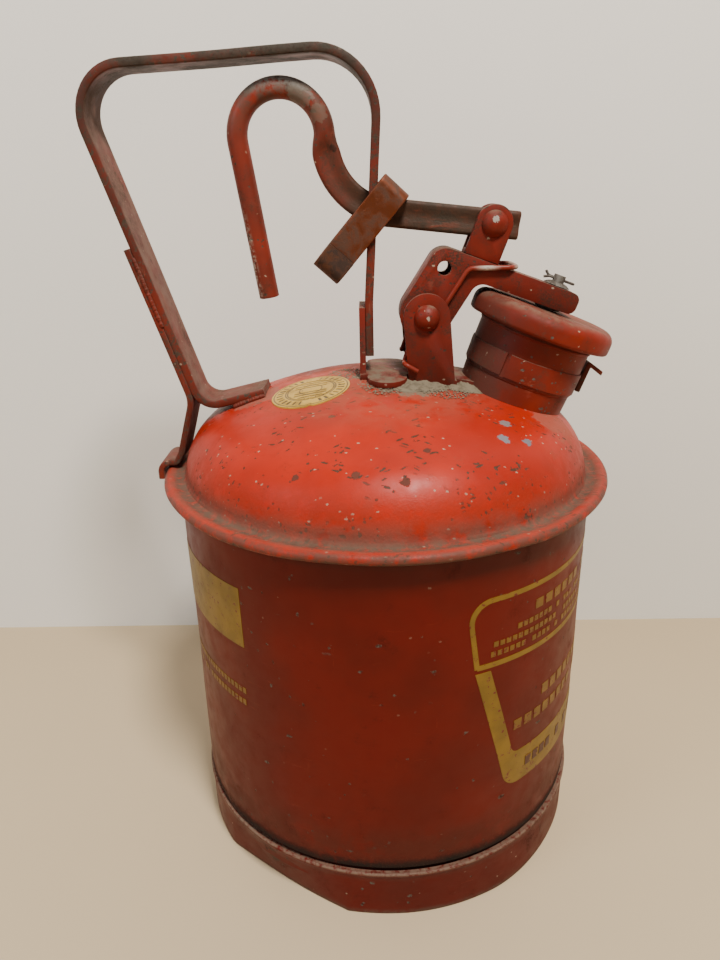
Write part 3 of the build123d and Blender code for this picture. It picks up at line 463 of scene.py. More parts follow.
# A darker copy of the ring's copper for the lap's end: dirt, and painted shade on the faces that turn away
# from the light.
dirty_shaded_copper = worn_metal(
    "ring_lap_dirt_and_shade", (0.10, 0.036, 0.016, 1), (0.030, 0.014, 0.008, 1), 0.45, 0.4, 3, 0.7, (1, 6, 1)
)
steel = worn_metal("old_steel", (0.17, 0.155, 0.135, 1), (0.060, 0.045, 0.034, 1), 0.5, 0.6, 2.5, 0.75)
spring_paint = red_paint(
    "spring_paint", (0.22, 0.022, 0.010, 1), (0.13, 0.018, 0.010, 1), bare=(0.36, 0.32, 0.26, 1), chips=0.4,
    chip_size=3.5, specks=0.1, grime=0.3,
    coats=(band_coat("X", 41, 6, (0.42, 0.37, 0.30, 1), 0.95, 0.0, 4.0),
           band_coat("X", 54, 4, (0.42, 0.37, 0.30, 1), 0.95, 0.0, 4.0)),
)
zinc = worn_metal("zinc_mesh", (0.42, 0.42, 0.40, 1), (0.16, 0.14, 0.11, 1), 0.38, 0.9, 5, 0.4)


def rubber_paint():
    """Black gasket rubber with a grey bloom and fine cracks."""
    finish = Finish("gasket_rubber")
    bloom = finish.cloud(5, 5).rise(0.4, 0.7)
    colour = finish.tint(bloom, (0.012, 0.012, 0.012, 1), (0.05, 0.047, 0.043, 1))
    return finish.done(colour, bloom * 0.2 + 0.55, 0.0, finish.cloud(1.2, 5) * 0.12, 0.5)


def decal_paint(name, clean, base, loss=0.4):
    """Printed yellow with fading, scratches and flakes gone to the red below."""
    finish = Finish(name)
    faded = finish.tint(finish.cloud(12, 4).rise(0.35, 0.7), clean, tuple(c * 0.72 for c in clean[:3]) + (1,))
    flakes = finish.cloud(2.6, 6, 0.66, swirl=0.5).rise(0.66 - loss * 0.12, 0.675 - loss * 0.12)
    scores = finish.cloud(10, 4, 0.7, finish.stretched((1, 1, 8))).rise(0.66, 0.70)
    gone = flakes.most(scores).most(finish.flecks(2.2, 0.12))
    colour = finish.tint(gone, faded, base)
    relief = gone * -0.08 + finish.cloud(3, 2) * 0.03
    return finish.done(colour, finish.cloud(6, 3) * 0.2 + 0.38, 0.0, relief, 0.5)


def seal_paint():
    """Gold foil on the dome's seal, tarnished, with dark print in its grooves."""
    finish = Finish("seal_gold")
    patina = finish.cloud(6, 5, 0.65).rise(0.42, 0.72)
    gold = finish.tint(patina, (0.60, 0.37, 0.050, 1), (0.36, 0.21, 0.030, 1))
    groove = finish.mark("print")
    colour = finish.tint(groove * 0.92, gold, (0.045, 0.026, 0.012, 1))
    colour = finish.tint(finish.flecks(1.5, 0.1), colour, (0.10, 0.05, 0.02, 1))
    return finish.done(colour, patina * 0.2 + 0.34, 0.35, finish.cloud(1.5, 3) * 0.06 - groove * 0.1, 0.5)


gasket = rubber_paint()
wall_yellow = decal_paint("decal_yellow", (0.200, 0.108, 0.0003, 1), (0.115, 0.003, 0.0003, 1))
print_yellow = decal_paint("print_yellow", (0.185, 0.085, 0.0006, 1), (0.115, 0.003, 0.0003, 1), 0.7)
print_red = decal_paint("print_red", (0.065, 0.008, 0.003, 1), (0.215, 0.112, 0.003, 1), 0.3)
seal_gold = seal_paint()
print("metals:", copper.name, steel.name, zinc.name)

# %% [markdown]
# ## Making and handing over a mesh
# Each piece is built from points in millimetres, scaled to metres once, and
# given its material, its CAD body and the nodes it stands for. Flat faces
# keep crisp borders where they meet at more than a set angle.

# %% Mesh helpers
def placed(name, data):
    """A new object in the scene."""
    obj = bpy.data.objects.new(name, data)
    bpy.context.collection.objects.link(obj)
    return obj


def thread(name, path):
    """An object of plain edges along points in millimetres."""
    mesh = bpy.data.meshes.new(name)
    mesh.from_pydata([Vector(point) * MM for point in path], [(k, k + 1) for k in range(len(path) - 1)], [])
    return placed(name, mesh)


def hand_over(obj, material, body, nodes=(), crisp=38):
    """Finishes a piece: material, shading, CAD body and replaced nodes."""
    obj.data.materials.clear()
    obj.data.materials.append(material)
    obj.data.shade_smooth()
    obj.data.set_sharp_from_angle(angle=radians(crisp))
    if body:
        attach(obj, body)
    if nodes:
        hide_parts(*nodes)
    print(obj.name, "faces:", len(obj.data.polygons))
    return obj


def mesh_piece(name, points, faces, marks=None):
    """An object from points in millimetres, with normals turned outwards."""
    mesh = bpy.data.meshes.new(name)
    mesh.from_pydata([Vector(point) * MM for point in points], [], faces)
    for key, values in (marks or {}).items():
        mesh.attributes.new(key, "FLOAT", "POINT").data.foreach_set("value", values)
    shape = bmesh.new()
    shape.from_mesh(mesh)
    bmesh.ops.remove_doubles(shape, verts=shape.verts, dist=1e-6)
    bmesh.ops.recalc_face_normals(shape, faces=shape.faces)
    shape.to_mesh(mesh)
    shape.free()
    return placed(name, mesh)


def settle(obj):
    """Applies the modifiers of an object by taking its evaluated mesh."""
    bpy.context.view_layer.update()
    mesh = bpy.data.meshes.new_from_object(obj.evaluated_get(bpy.context.evaluated_depsgraph_get()))
    obj.modifiers.clear()
    obj.data = mesh
    return obj


def loop_faces(rows, steps):
    """Faces between closed rows of points, each row as long as the next."""
    faces = []
    for row in range(rows):
        here, there = row * steps, (row + 1) * steps
        for step in range(steps):
            after = (step + 1) % steps
            faces.append((here + step, here + after, there + after, there + step))
    return faces


def skin(rings):
    """Points and faces of rings joined one to the next, with both ends capped."""
    size, last = len(rings[0]), len(rings) - 1
    faces = loop_faces(last, size)
    faces.append(tuple(range(size)))
    faces.append(tuple(range(last * size, (last + 1) * size)))
    return [point for ring in rings for point in ring], faces


def turned(name, profile, steps=144, warp=None, place=None, closed=True):
    """Revolves (radius, height) points round an axis; a closed profile makes a shell."""
    place = place or Matrix.Identity(4)
    rings = []
    for step in range(steps):
        angle = 2 * pi * step / steps
        ring = []
        for radius, height in profile:
            radius, height = warp(radius, height, angle) if warp and radius > 0.01 else (radius, height)
            ring.append(place @ Vector((radius * cos(angle), radius * sin(angle), height)))
        rings.append(ring)
    points, faces = [p for ring in rings for p in ring], []
    size = len(profile)
    for step in range(steps):
        here, there = step * size, (step + 1) % steps * size
        for row in range(size if closed else size - 1):
            after = (row + 1) % size
            faces.append((here + row, here + after, there + after, there + row))
    return mesh_piece(name, points, faces)


def softened(node, width=0.5, steps=2, angle=28):
    """A CAD node's copy, merged, with rounded edges that carry the mark 'edge'."""
    shape = bmesh.new()
    shape.from_mesh(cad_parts[node].data)
    bmesh.ops.remove_doubles(shape, verts=shape.verts, dist=2e-6)
    bmesh.ops.dissolve_limit(
        shape, angle_limit=radians(0.6), verts=shape.verts, edges=shape.edges, use_dissolve_boundaries=False
    )
    mesh = bpy.data.meshes.new(node + "_soft")
    shape.to_mesh(mesh)
    shape.free()
    obj = placed(node + "_piece", mesh)
    for polygon in mesh.polygons:
        polygon.material_index = 0
    for index in range(2):
        mesh.materials.append(mech_red)
    edge = obj.modifiers.new("edge", "BEVEL")
    edge.width, edge.segments, edge.material = width * MM, steps, 1
    edge.limit_method, edge.angle_limit = "ANGLE", radians(angle)
    settle(obj)
    values = [float(polygon.material_index) for polygon in obj.data.polygons]
    obj.data.attributes.new("edge", "FLOAT", "FACE").data.foreach_set("value", values)
    obj.data.polygons.foreach_set("material_index", [0] * len(values))
    return obj


def rounded(points, radii, step=2.0):
    """A polyline with arcs at its corners, as evenly dense points."""
    points = [Vector(point) for point in points]
    line = []
    for index, (corner, radius) in enumerate(zip(points, radii)):
        if not radius:
            line.append(corner)
            continue
        back = (points[index - 1] - corner).normalized()
        ahead_way = (points[index + 1] - corner).normalized()
        half = back.angle(ahead_way) / 2
        reach = radius / (sin(half) / cos(half))
        middle = corner + (back + ahead_way).normalized() * radius / sin(half)
        first, last = corner + back * reach - middle, corner + ahead_way * reach - middle
        turn = max(3, int(first.angle(last) / radians(7)))
        for tick in range(turn + 1):
            line.append(middle + first.slerp(last, tick / turn) * radius)
    dense = [line[0]]
    for start, end in zip(line, line[1:]):
        parts = max(1, int((end - start).length / step))
        dense += [start.lerp(end, part / parts) for part in range(1, parts + 1)]
    return dense


def directions(path):
    """Unit tangents along a path."""
    befores, afters = [path[0]] + path[:-1], path[1:] + [path[-1]]
    return [(after - before).normalized() for before, after in zip(befores, afters)]


print("helpers: turned, skin, softened, rounded")

# %% [markdown]
# ## The can's body
# The wall, the dome and the foot band are sheet metal turned about the can's
# axis, so each is one closed profile spun in steps. Small dents from noise,
# fixed by place, keep the reflections from looking machined.

# %% Wall
def dented(strength, reach=60):
    """A warp that pushes the sheet in and out a little."""
    def warp(radius, height, angle):
        place = Vector((cos(angle) * 1.4, sin(angle) * 1.4, height / reach))
        return radius + noise.noise(place) * strength - strength * 0.4, height
    return warp


WALL_R, SEAM_R, FLANGE_Z, CROWN_Z = 88.0, 86.6, 168.6, 210.0
WALL_FOOT, WALL_TOP, FLANGE_R, DENT = 26.4, 167.6, 89.3, 0.55
wall_rows = [(WALL_R, WALL_FOOT + (WALL_TOP - WALL_FOOT) * row / 22) for row in range(23)]
wall_inside = [(WALL_R - 1, z) for _, z in reversed(wall_rows)]
wall_profile = [(SEAM_R, 14), (SEAM_R, 24.6), (SEAM_R + 0.4, 25.4)] + wall_rows
wall_profile += [(FLANGE_R, WALL_TOP), (FLANGE_R, FLANGE_Z)] + wall_inside
wall_profile += [(SEAM_R - 1, 25.5), (SEAM_R - 1, 14)]
wall = turned("body_wall", wall_profile, 160, dented(DENT))
hand_over(wall, wall_red_aged_and_shaded, "root", ["body_shell"])

# %% Dome with its rolled rim
SPOUT_X, MOUTH_Z, SPOUT_TILT = 64, 226.5, 20
ON_SPOUT = Matrix.Translation((SPOUT_X, 0, MOUTH_Z)) @ Matrix.Rotation(radians(SPOUT_TILT), 4, "Y")
SHOULDER_R, SHOULDER, CROWN_R, FOOT_Z = 57.5, 28.0, 171.76, 170.0
crown_middle = CROWN_Z - CROWN_R
shoulder_turn = atan2(FOOT_Z - crown_middle, SHOULDER_R)


def dome_height(radius):
    """Height of the dome's outside over the floor at a distance from the axis."""
    if radius < CROWN_R * cos(shoulder_turn):
        return crown_middle + sqrt(CROWN_R**2 - radius**2)
    return FOOT_Z + sqrt(max(0.0, SHOULDER**2 - (radius - SHOULDER_R) ** 2))


def dome_curve(inset):
    """Profile of the dome from its axis down to its foot."""
    crown = [(CROWN_R - inset) * cos(pi / 2 + (shoulder_turn - pi / 2) * k / 18) for k in range(19)]
    curve = [(max(0, r), crown_middle + sqrt((CROWN_R - inset) ** 2 - r * r)) for r in crown]
    for tick in range(1, 15):
        angle = shoulder_turn * (1 - tick / 15)
        curve.append((SHOULDER_R + (SHOULDER - inset) * cos(angle), FOOT_Z + (SHOULDER - inset) * sin(angle)))
    return curve


def rim_warp(radius, height, angle):
    """Slight dents: the dome's sheet dimples, and the rolled rim waves."""
    place = Vector((cos(angle) * 1.5, sin(angle) * 1.5, radius / 45))
    dimple = noise.noise(place)
    if radius > 86:
        wave = noise.noise(Vector((cos(angle) * 3, sin(angle) * 3, 5)))
        return radius - 0.35 - wave * 0.35, height + wave * 0.5
    return radius, height + (dimple - 0.35) * 0.55 * min(1, radius / 20)


bead = [(92.0 + 3.0 * cos(radians(a)), 169.2 + 2.3 * sin(radians(a))) for a in range(75, -136, -15)]
trough = [(85.6, 171.9), (86.0, 170.9), (87.0, 170.4), (88.6, 170.4), (90.4, 170.8), (91.6, 171.3)]
dome_profile = dome_curve(0) + trough + bead
dome_profile += [(88.9, FLANGE_Z - 0.6), (84.5, FLANGE_Z - 0.6)] + list(reversed(dome_curve(1.0)))
dome = turned("dome_shell", dome_profile, 176, rim_warp, closed=False)
BORE_R, BORE_FOOT, BORE_TOP = 21.0, -46, -4
bore_line = [(0.0, BORE_FOOT), (BORE_R, BORE_FOOT), (BORE_R, BORE_TOP), (0.0, BORE_TOP)]
bore = turned("bore", bore_line, 40, None, ON_SPOUT, False)
cut = dome.modifiers.new("bore", "BOOLEAN")
cut.object, cut.operation, cut.solver = bore, "DIFFERENCE", "EXACT"
settle(dome)
bpy.data.objects.remove(bore)
hand_over(dome, dome_red_faded_and_lit, "root", ["top_dome"], 50)

# %% Foot band, bent by knocks
KNOCK, SPREAD = radians(-123.5), radians(21.5)


def foot_warp(radius, height, angle):
    """The lower edge is knocked flat on one side, and a little on the next."""
    gap = (angle - KNOCK + pi) % (2 * pi) - pi
    flat = 0.0
    for depth, turn in ((0.75, gap), (0.10, gap - 2 * SPREAD)):
        if abs(turn) < SPREAD:
            flat += depth * radius * max(0, 1 - cos(SPREAD) / cos(turn))
    sway = noise.noise(Vector((cos(angle) * 2, sin(angle) * 2, 9))) * 0.5
    return radius - (flat + sway + 0.3) * max(0, 1 - height / 22) ** 0.8, height


foot_rows = [(88.2, 1.2 + 20.2 * row / 8) for row in range(9)]
lip = [(88.0 + 0.85 * cos(radians(a)), 22.9 + 1.1 * sin(radians(a))) for a in range(-60, 121, 20)]
foot_profile = [(86.6, 0.2), (87.4, 0), (88.0, 0.3)] + foot_rows + lip + [(86.7, 24), (86.6, 22), (86.6, 6)]
foot = turned("foot_ring", foot_profile, 180, foot_warp)
hand_over(foot, foot_red_aged_and_shaded, "root", ["foot_band"])

# %% [markdown]
# ## The handle
# A flat steel strap is bent round into the bail, and a second strap braces
# its rear leg and hooks over the rim. Both are a rounded strip carried along
# a path. The strip's corners carry the mark "edge", where paint wears off.

# %% Strap sections
def strip_section(width, thickness, corner):
    """Outline of the strap: (across the sheet, across the strip, edge mark)."""
    half_t, half_w = thickness / 2, width / 2
    side = []
    for share in (-1, -0.86, -0.6, -0.3, 0, 0.3, 0.6, 0.86, 1):
        side.append((half_t, share * (half_w - corner), float(abs(share) > 0.95)))
    turn = []
    for tick in range(1, 4):
        angle = pi / 2 * tick / 4
        turn.append((half_t - corner * (1 - cos(angle)), half_w - corner + corner * sin(angle), 1.0))
    top = side + turn + [(-t, w, e) for t, w, e in reversed(turn)]
    return top + [(-t, -w, e) for t, w, e in side] + [(-t, -w, e) for t, w, e in turn] + [
        (t, -w, e) for t, w, e in reversed(turn)]


def strap(name, path, width, thickness):
    """A strip carried along a path of (X, Z) points."""
    section = strip_section(width, thickness, min(0.8, thickness * 0.35))
    rings, edges = [], []
    for point, way in zip(path, directions(path)):
        out = Vector((-way.y, way.x))
        sway = noise.noise(Vector((point.x / 40, point.y / 40, 3))) * 0.25
        rings.append([(point.x + out.x * (t + sway), w, point.y + out.y * (t + sway)) for t, w, _ in section])
        edges += [e for _, _, e in section]
    points, faces = skin(rings)
    return mesh_piece(name, points, faces, {"edge": edges})


STRAP_W, STRAP_T, LEG_X, FOOT_X = 19.0, 3.3, -5.4, -49.5
SLOT_Z, SLOT_W, SLOT_H = 274.9, 7.2, 19.0
HEEL, REAR = Vector((-76.2, 197.8)), Vector((-115.3, 324.6))
foot_end = (FOOT_X, dome_height(FOOT_X) + STRAP_T / 2 - 0.3)
bail_path = rounded(
    [foot_end, HEEL, REAR, (-0.5, 330.3), (LEG_X, 240), (LEG_X, 218.7)],
    [0, 8.5, 17, 22, 19, 0],
)
bail = strap("bail_strap", bail_path, STRAP_W, STRAP_T)
slot_tool = strap("slot_tool", [Vector((LEG_X - 9, SLOT_Z)), Vector((LEG_X + 9, SLOT_Z))], SLOT_W, SLOT_H)
cut = bail.modifiers.new("slot", "BOOLEAN")
cut.object, cut.operation, cut.solver = slot_tool, "DIFFERENCE", "EXACT"
settle(bail)
bpy.data.objects.remove(slot_tool)
hand_over(bail, strap_red, "root", ["bail_handle", "handle_front_leg"])

# %% Brace
rear_way = (REAR - HEEL).normalized()
rear_out = Vector((-rear_way.y, rear_way.x))
brace_line = HEEL + rear_out * 3.0


def brace_at(height):
    """Point of the brace's middle line at a height."""
    return brace_line + rear_way * ((height - brace_line.y) / rear_way.y)


BEAD_X, BEAD_Z = 92.2, 169.3
HOOK = 2.8 + 0.3 + 1.3  # the bead, a gap and half the brace
brace_path = rounded(
    [brace_at(262), brace_at(201), (-87.0, BEAD_Z + 2 * HOOK), (-89.4, BEAD_Z + HOOK),
     (-BEAD_X - HOOK, BEAD_Z + HOOK), (-BEAD_X - HOOK, 166.5)],
    [0, 12, 8, 1.6, HOOK * 0.95, 0], 1.2,
)
brace = strap("brace_strap", brace_path, STRAP_W, 2.6)
hand_over(brace, strap_red, "root", ["handle_brace"])

# %% [markdown]
# ## The trigger lever
# A steel tube is bent into a hook for the finger and squashed flat where it
# passes the handle's slot. Rings of the same number of points run from a
# circle to a rounded bar, with a shallow groove left by the squashing.

# %% Trigger lever
def bar_ring(point, way, half_y, half_n, corner, dish=0.0, grow=1.0):
    """One cross-section of the lever, square to its middle line."""
    out = Vector((-way.y, way.x))
    ring = []
    for side_y, side_n, start in ((1, 1, 0), (-1, 1, 90), (-1, -1, 180), (1, -1, 270)):
        for tick in range(7):
            angle = radians(start + 90 * tick / 6)
            y = (side_y * (half_y - corner) + corner * cos(angle)) * grow
            n = (side_n * (half_n - corner) + corner * sin(angle)) * grow
            ring.append((point.x + out.x * n, y, point.y + out.y * n))
        if side_y * side_n < 0:
            for share in (0.6, 0.3, 0, -0.3, -0.6):
                n = side_n * (half_n - corner) * share
                y = side_y * (half_y - dish * (1 - share * share) ** 2)
                ring.append((point.x + out.x * n * grow, y * grow, point.y + out.y * n * grow))
    return ring


def smooth(share):
    share = min(1, max(0, share))
    return share * share * (3 - 2 * share)


LEVER_PIN = Vector((43.7299, 268.463))
PIN_TO_BEND, BEND_R, HOOK_R, TAIL_LENGTH, FLAT_LENGTH = 41.4, 27, 16.5, 57.5, 51.2
TUBE_R, FLAT_HALF_Y, FLAT_HALF_N = 4, 2.4, 5.4
droop = radians(-6.6)
lever_way = Vector((cos(droop), sin(droop)))
bend_end = LEVER_PIN - lever_way * PIN_TO_BEND
bend_middle = bend_end + Vector((-lever_way.y, lever_way.x)) * BEND_R
hook_middle = bend_middle + Vector((-BEND_R - HOOK_R, 1.1))
tail_turn = radians(188.2)
tail_start = hook_middle + Vector((cos(tail_turn), sin(tail_turn))) * HOOK_R
tail_way = Vector((cos(tail_turn + pi / 2), sin(tail_turn + pi / 2)))
lever_path = [tail_start + tail_way * TAIL_LENGTH * (1 - k / 24) for k in range(24)]
lever_path += [hook_middle + Vector((cos(a), sin(a))) * HOOK_R
               for a in (tail_turn * (1 - k / 40) for k in range(41))]
lever_path += [bend_middle + Vector((cos(a), sin(a))) * BEND_R
               for a in (pi + (pi / 2 + droop) * k / 26 for k in range(1, 27))]
lever_path += [bend_end + lever_way * (FLAT_LENGTH * k / 16) for k in range(1, 17)]
rings, run = [], 0.0
ways = directions(lever_path)
for index, (point, way) in enumerate(zip(lever_path, ways)):
    run += (point - lever_path[index - 1]).length if index else 0
    flat = smooth((run - 110) / 9)
    half_y, half_n = TUBE_R + (FLAT_HALF_Y - TUBE_R) * flat, TUBE_R + (FLAT_HALF_N - TUBE_R) * flat
    rings.append(bar_ring(point, way, half_y, half_n, TUBE_R - 2.5 * flat, 0.8 * flat))
mouth_rings = [bar_ring(lever_path[0] + ways[0] * depth, ways[0], TUBE_R, TUBE_R, TUBE_R, 0, grow)
               for depth, grow in ((9, 0.70), (0, 0.72), (-0.25, 0.86), (0, 0.97))]
tip_rings = [bar_ring(lever_path[-1] + ways[-1] * depth, ways[-1], FLAT_HALF_Y, FLAT_HALF_N, 1.5, 0.8, grow)
             for depth, grow in ((0.4, 0.93), (0.4, 0.7), (-3, 0.6))]
rings = mouth_rings + rings + tip_rings
points, faces = skin(rings)
lever = mesh_piece("trigger_bar", points, faces)
hand_over(lever, lever_red, "trigger", ["trigger_lever"], 50)

# %% [markdown]
# ## The copper ring
# A strip of copper is wrapped round the handle's leg and the lever, and its
# ends lap at the bottom. The strip starts and ends on the short lower side,
# with the last stretch lifted by one thickness.

# %% Ring
RING_T, RING_W = 1.5, 12.0
RING_AT = Vector((-7.5, 0, 268.1))
ring_turn = radians(48.4)
ring_along = Vector((cos(ring_turn), 0, sin(ring_turn)))
ring_across = Vector((sin(ring_turn), 0, -cos(ring_turn)))
half_long, half_short = 20.4 - RING_T / 2, 11.6 - RING_T / 2
loop = rounded(
    [(3 - half_long, -half_short), (half_long, -half_short), (half_long, half_short),
     (-half_long, half_short), (-half_long, -half_short), (7.5 - half_long, -half_short)],
    [0, 3.3, 3.3, 3.3, 2.2, 0], 1.2,
)
section = strip_section(RING_W, RING_T, 0.45)
rings, edges = [], []
for index, (point, way) in enumerate(zip(loop, directions(loop))):
    lap = smooth((index - len(loop) + 30) / 8) * 2.1
    out = Vector((way.y, -way.x))
    ring = []
    for t, w, e in section:
        flat = point + out * (t + lap)
        place = RING_AT + ring_along * flat.x + Vector((0, flat.y, 0)) + ring_across * w
        ring.append(place)
        edges.append(e)
    rings.append(ring)
points, faces = skin(rings)
ring_piece = mesh_piece("copper_ring", points, faces, {"edge": edges})
hand_over(ring_piece, copper, "ring", ["keeper_ring"])
# Faces at the lap's end on the ring's near side take the darker copper: dirt and painted shade.
ring_piece.data.materials.append(dirty_shaded_copper)
for polygon in ring_piece.data.polygons:
    place = polygon.center / MM - RING_AT
    low_end = place.dot(ring_along) < 7.6 - half_long and place.y < -6
    polygon.material_index = int(low_end and polygon.normal.dot(ring_along) < 0.5)

# %% [markdown]
# ## Wire springs
# Wire that follows a path is a job for Geometry Nodes: a line of edges turns
# into a curve, a circle is carried along it, and the result is realized and
# given its material. Radius and sides are the tree's inputs.

# %% Geometry Nodes helpers
class Tree:
    """A Geometry Nodes tree that is built step by step."""

    def __init__(self, name, inputs):
        self.group = bpy.data.node_groups.new(name, "GeometryNodeTree")
        self.names = {}
        for label, kind in [("Geometry", "NodeSocketGeometry")] + inputs:
            socket = self.group.interface.new_socket(label, in_out="INPUT", socket_type=kind)
            self.names[label] = socket.identifier
        self.group.interface.new_socket("Geometry", in_out="OUTPUT", socket_type="NodeSocketGeometry")
        self.source = self.group.nodes.new("NodeGroupInput")

    def given(self, label):
        return self.source.outputs[label]

    def node(self, kind, settings=None, sockets=None, out=0):
        made = self.group.nodes.new(kind)
        for key, value in (settings or {}).items():
            setattr(made, key, value)
        for key, value in (sockets or {}).items():
            if isinstance(value, bpy.types.NodeSocket):
                self.group.links.new(value, made.inputs[key])
            else:
                made.inputs[key].default_value = value
        return made.outputs[out]

    def close(self, geometry, material):
        whole = self.node("GeometryNodeRealizeInstances", {}, {0: geometry})
        painted = self.node("GeometryNodeSetMaterial", {}, {"Geometry": whole, "Material": material})
        end = self.group.nodes.new("NodeGroupOutput")
        self.group.links.new(painted, end.inputs[0])
        return self

    def grow(self, obj, values):
        """Runs the tree on an object and keeps only the resulting mesh."""
        modifier = obj.modifiers.new(self.group.name, "NODES")
        modifier.node_group = self.group
        for label, value in values.items():
            modifier[self.names[label]] = value
        return settle(obj)


def wire_tree(material):
    tree = Tree("wire_" + material.name, [("Radius", "NodeSocketFloat"), ("Sides", "NodeSocketInt")])
    line = tree.node("GeometryNodeMeshToCurve", {}, {0: tree.given("Geometry")})
    circle = {"Resolution": tree.given("Sides"), "Radius": tree.given("Radius")}
    profile = tree.node("GeometryNodeCurvePrimitiveCircle", {"mode": "RADIUS"}, circle)
    swept = tree.node("GeometryNodeCurveToMesh", {}, {0: line, 1: profile, "Fill Caps": True})
    return tree.close(swept, material)


def wire(name, path, radius, tree, sides):
    """A round wire along points in millimetres."""
    return tree.grow(thread(name, path), {"Radius": radius * MM, "Sides": sides})


spring_tree = wire_tree(spring_paint)
steel_tree = wire_tree(steel)
print("wire trees ready")

# %% Closing spring
PIVOT = Vector((17.2, 0, 234.5))
WIRE, COIL_R, COIL_Y, COIL_TURNS = 1.9, 4.2, 10.25, 1.6
LOOP_X, LOOP_Z, LEG_BEND_X = 52.6, 252.4, 33.6
TAIL_X, TAIL_Y, TAIL_Z = 8.4, 16.4, 216.6
TIP_X, TIP_Z = 13.6, 213.6
leg_turn = radians(57.5 - 90)


def spring_half(side):
    """Half of the spring: from the middle of its loop to the tip of its tail."""
    inner, outer = side * (COIL_Y - WIRE / 2), side * (COIL_Y + WIRE / 2)
    tangent = PIVOT + Vector((cos(leg_turn), 0, sin(leg_turn))) * COIL_R
    leg = rounded(
        [(LOOP_X, 0, LOOP_Z), (LOOP_X, inner, LOOP_Z), (LEG_BEND_X, inner, LOOP_Z),
         (tangent.x, inner, tangent.z)],
        [0, 3.8, 3.8, 0], 1.2,
    )
    coil = []
    for tick in range(1, 61):
        angle = leg_turn - 2 * pi * COIL_TURNS * tick / 60
        y = inner + (outer - inner) * tick / 60
        coil.append(PIVOT + Vector((cos(angle) * COIL_R, y, sin(angle) * COIL_R)))
    tail = rounded(
        [coil[-1], (TAIL_X, outer, TAIL_Z), (TAIL_X, side * TAIL_Y, TAIL_Z), (TIP_X, side * TAIL_Y, TIP_Z)],
        [0, 1.9, 1.9, 0], 1.0,
    )
    return [Vector(p) for p in leg] + coil + [Vector(p) for p in tail[1:]]


near, far = spring_half(-1), spring_half(1)
spring = wire("closing_wire", list(reversed(near)) + far[1:], WIRE / 2, spring_tree, 14)
hand_over(spring, spring_paint, None, ["closing_spring"])
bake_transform(spring)

# %% Lid spring and split pin
PAD_R, PAD_WIRE, PIN_WIRE = 4.75, 1.5, 1.04
turns, low, high = 4.0, 9.1 + 0.75, 16.2 - 0.75
coil = []
for tick in range(int(turns * 26) + 1):
    share = tick / (turns * 26)
    rise = low + (high - low) * smooth((share - 0.12) / 0.76)
    angle = 2 * pi * turns * share
    coil.append(ON_SPOUT @ Vector((PAD_R * cos(angle), PAD_R * sin(angle), rise)))
pad_coil = wire("lid_coil", coil, PAD_WIRE / 2, steel_tree, 10)
hand_over(pad_coil, steel, "lid_assembly", ["lid_spring"])
pin_z = 21.3
pin_line = [
    (-6.2, 0.35, pin_z + 1.6), (-4.6, 0.4, pin_z + 0.2), (4.2, 0.4, pin_z), (5.7, 1.1, pin_z),
    (6.5, 0, pin_z), (5.7, -1.1, pin_z), (4.2, -0.4, pin_z), (-4.2, -0.4, pin_z), (-6.4, -0.5, pin_z - 0.9),
]
pin_path = [ON_SPOUT @ Vector(p) for p in rounded(pin_line, [0, 2, 1, 0.8, 0.9, 0.8, 1, 2, 0], 0.6)]
split_pin = wire("split_pin", pin_path, PIN_WIRE / 2, steel_tree, 10)
hand_over(split_pin, steel, "lid_assembly", ["cotter_pin"])

# %% [markdown]
# ## Pressed and turned small parts
# The arm, the bracket, the clevis and the spout have their shape from the
# CAD, but real sheet metal has no razor edges. Each node's copy gets rounded
# edges, and the new narrow faces carry the mark where paint wears first.

# %% Softened CAD pieces
SOFT = (
    ("lid_arm", 0.55, mech_red, "arm", "red_mechanism"),
    ("lever_clevis", 0.45, mech_red, "arm", "red_mechanism"),
    ("lever_rivet", 0.35, mech_red, "arm", "red_mechanism"),
    ("fulcrum_bracket", 0.6, mech_red, "root", "red_mechanism"),
    ("pivot_rivet", 0.35, mech_red, "root", "red_mechanism"),
    ("funnel_catch", 0.4, strap_red, "root", "dark_steel"),
    ("stud_washer", 0.25, steel, "lid_assembly", "zinc_steel"),
    ("lid_stud", 0.3, steel, "lid_assembly", "zinc_steel"),
    ("gasket_retainer", 0.3, zinc, "lid_assembly", "zinc_steel"),
    ("lid_gasket", 0.4, gasket, "lid_assembly", "gasket_rubber"),
    ("arrester_ring", 0.25, zinc, "root", "zinc_mesh"),
    ("bottom_head", 0.3, wall_red_aged_and_shaded, "root", "red_body"),
)
for node, width, material, body, slot in SOFT:
    hand_over(softened(node, width), material, body, [node])

# %% Spout neck and lid, turned with the marks of use
def spout_warp(radius, height, angle):
    place = Vector((cos(angle) * 1.3, sin(angle) * 1.3, height / 12))
    return radius + (noise.noise(place) - 0.4) * 0.35, height


neck_profile = [
    (23.4, -20), (23.4, -11.0), (23.45, -2.6), (23.9, -2.2), (23.9, -1.7), (23.5, -1.3), (23.6, 2.6),
    (24.3, 3.2), (24.3, 3.9), (23.7, 4.25), (22.9, 4.0), (22.5, 3.0), (22.5, -20),
]
neck = turned("spout_tube", neck_profile, 96, spout_warp, ON_SPOUT)
hand_over(neck, spout_red, "root", ["spout_neck"], 30)

collar_profile = [
    (23.15, -18), (23.1, -20.6), (22.7, -21.2), (22.75, -22), (22.3, -36), (21.2, -36), (21.2, -18),
]
collar = turned("spout_collar", collar_profile, 96, spout_warp, ON_SPOUT)
hand_over(collar, spout_red, "root", ["neck_collar"], 30)

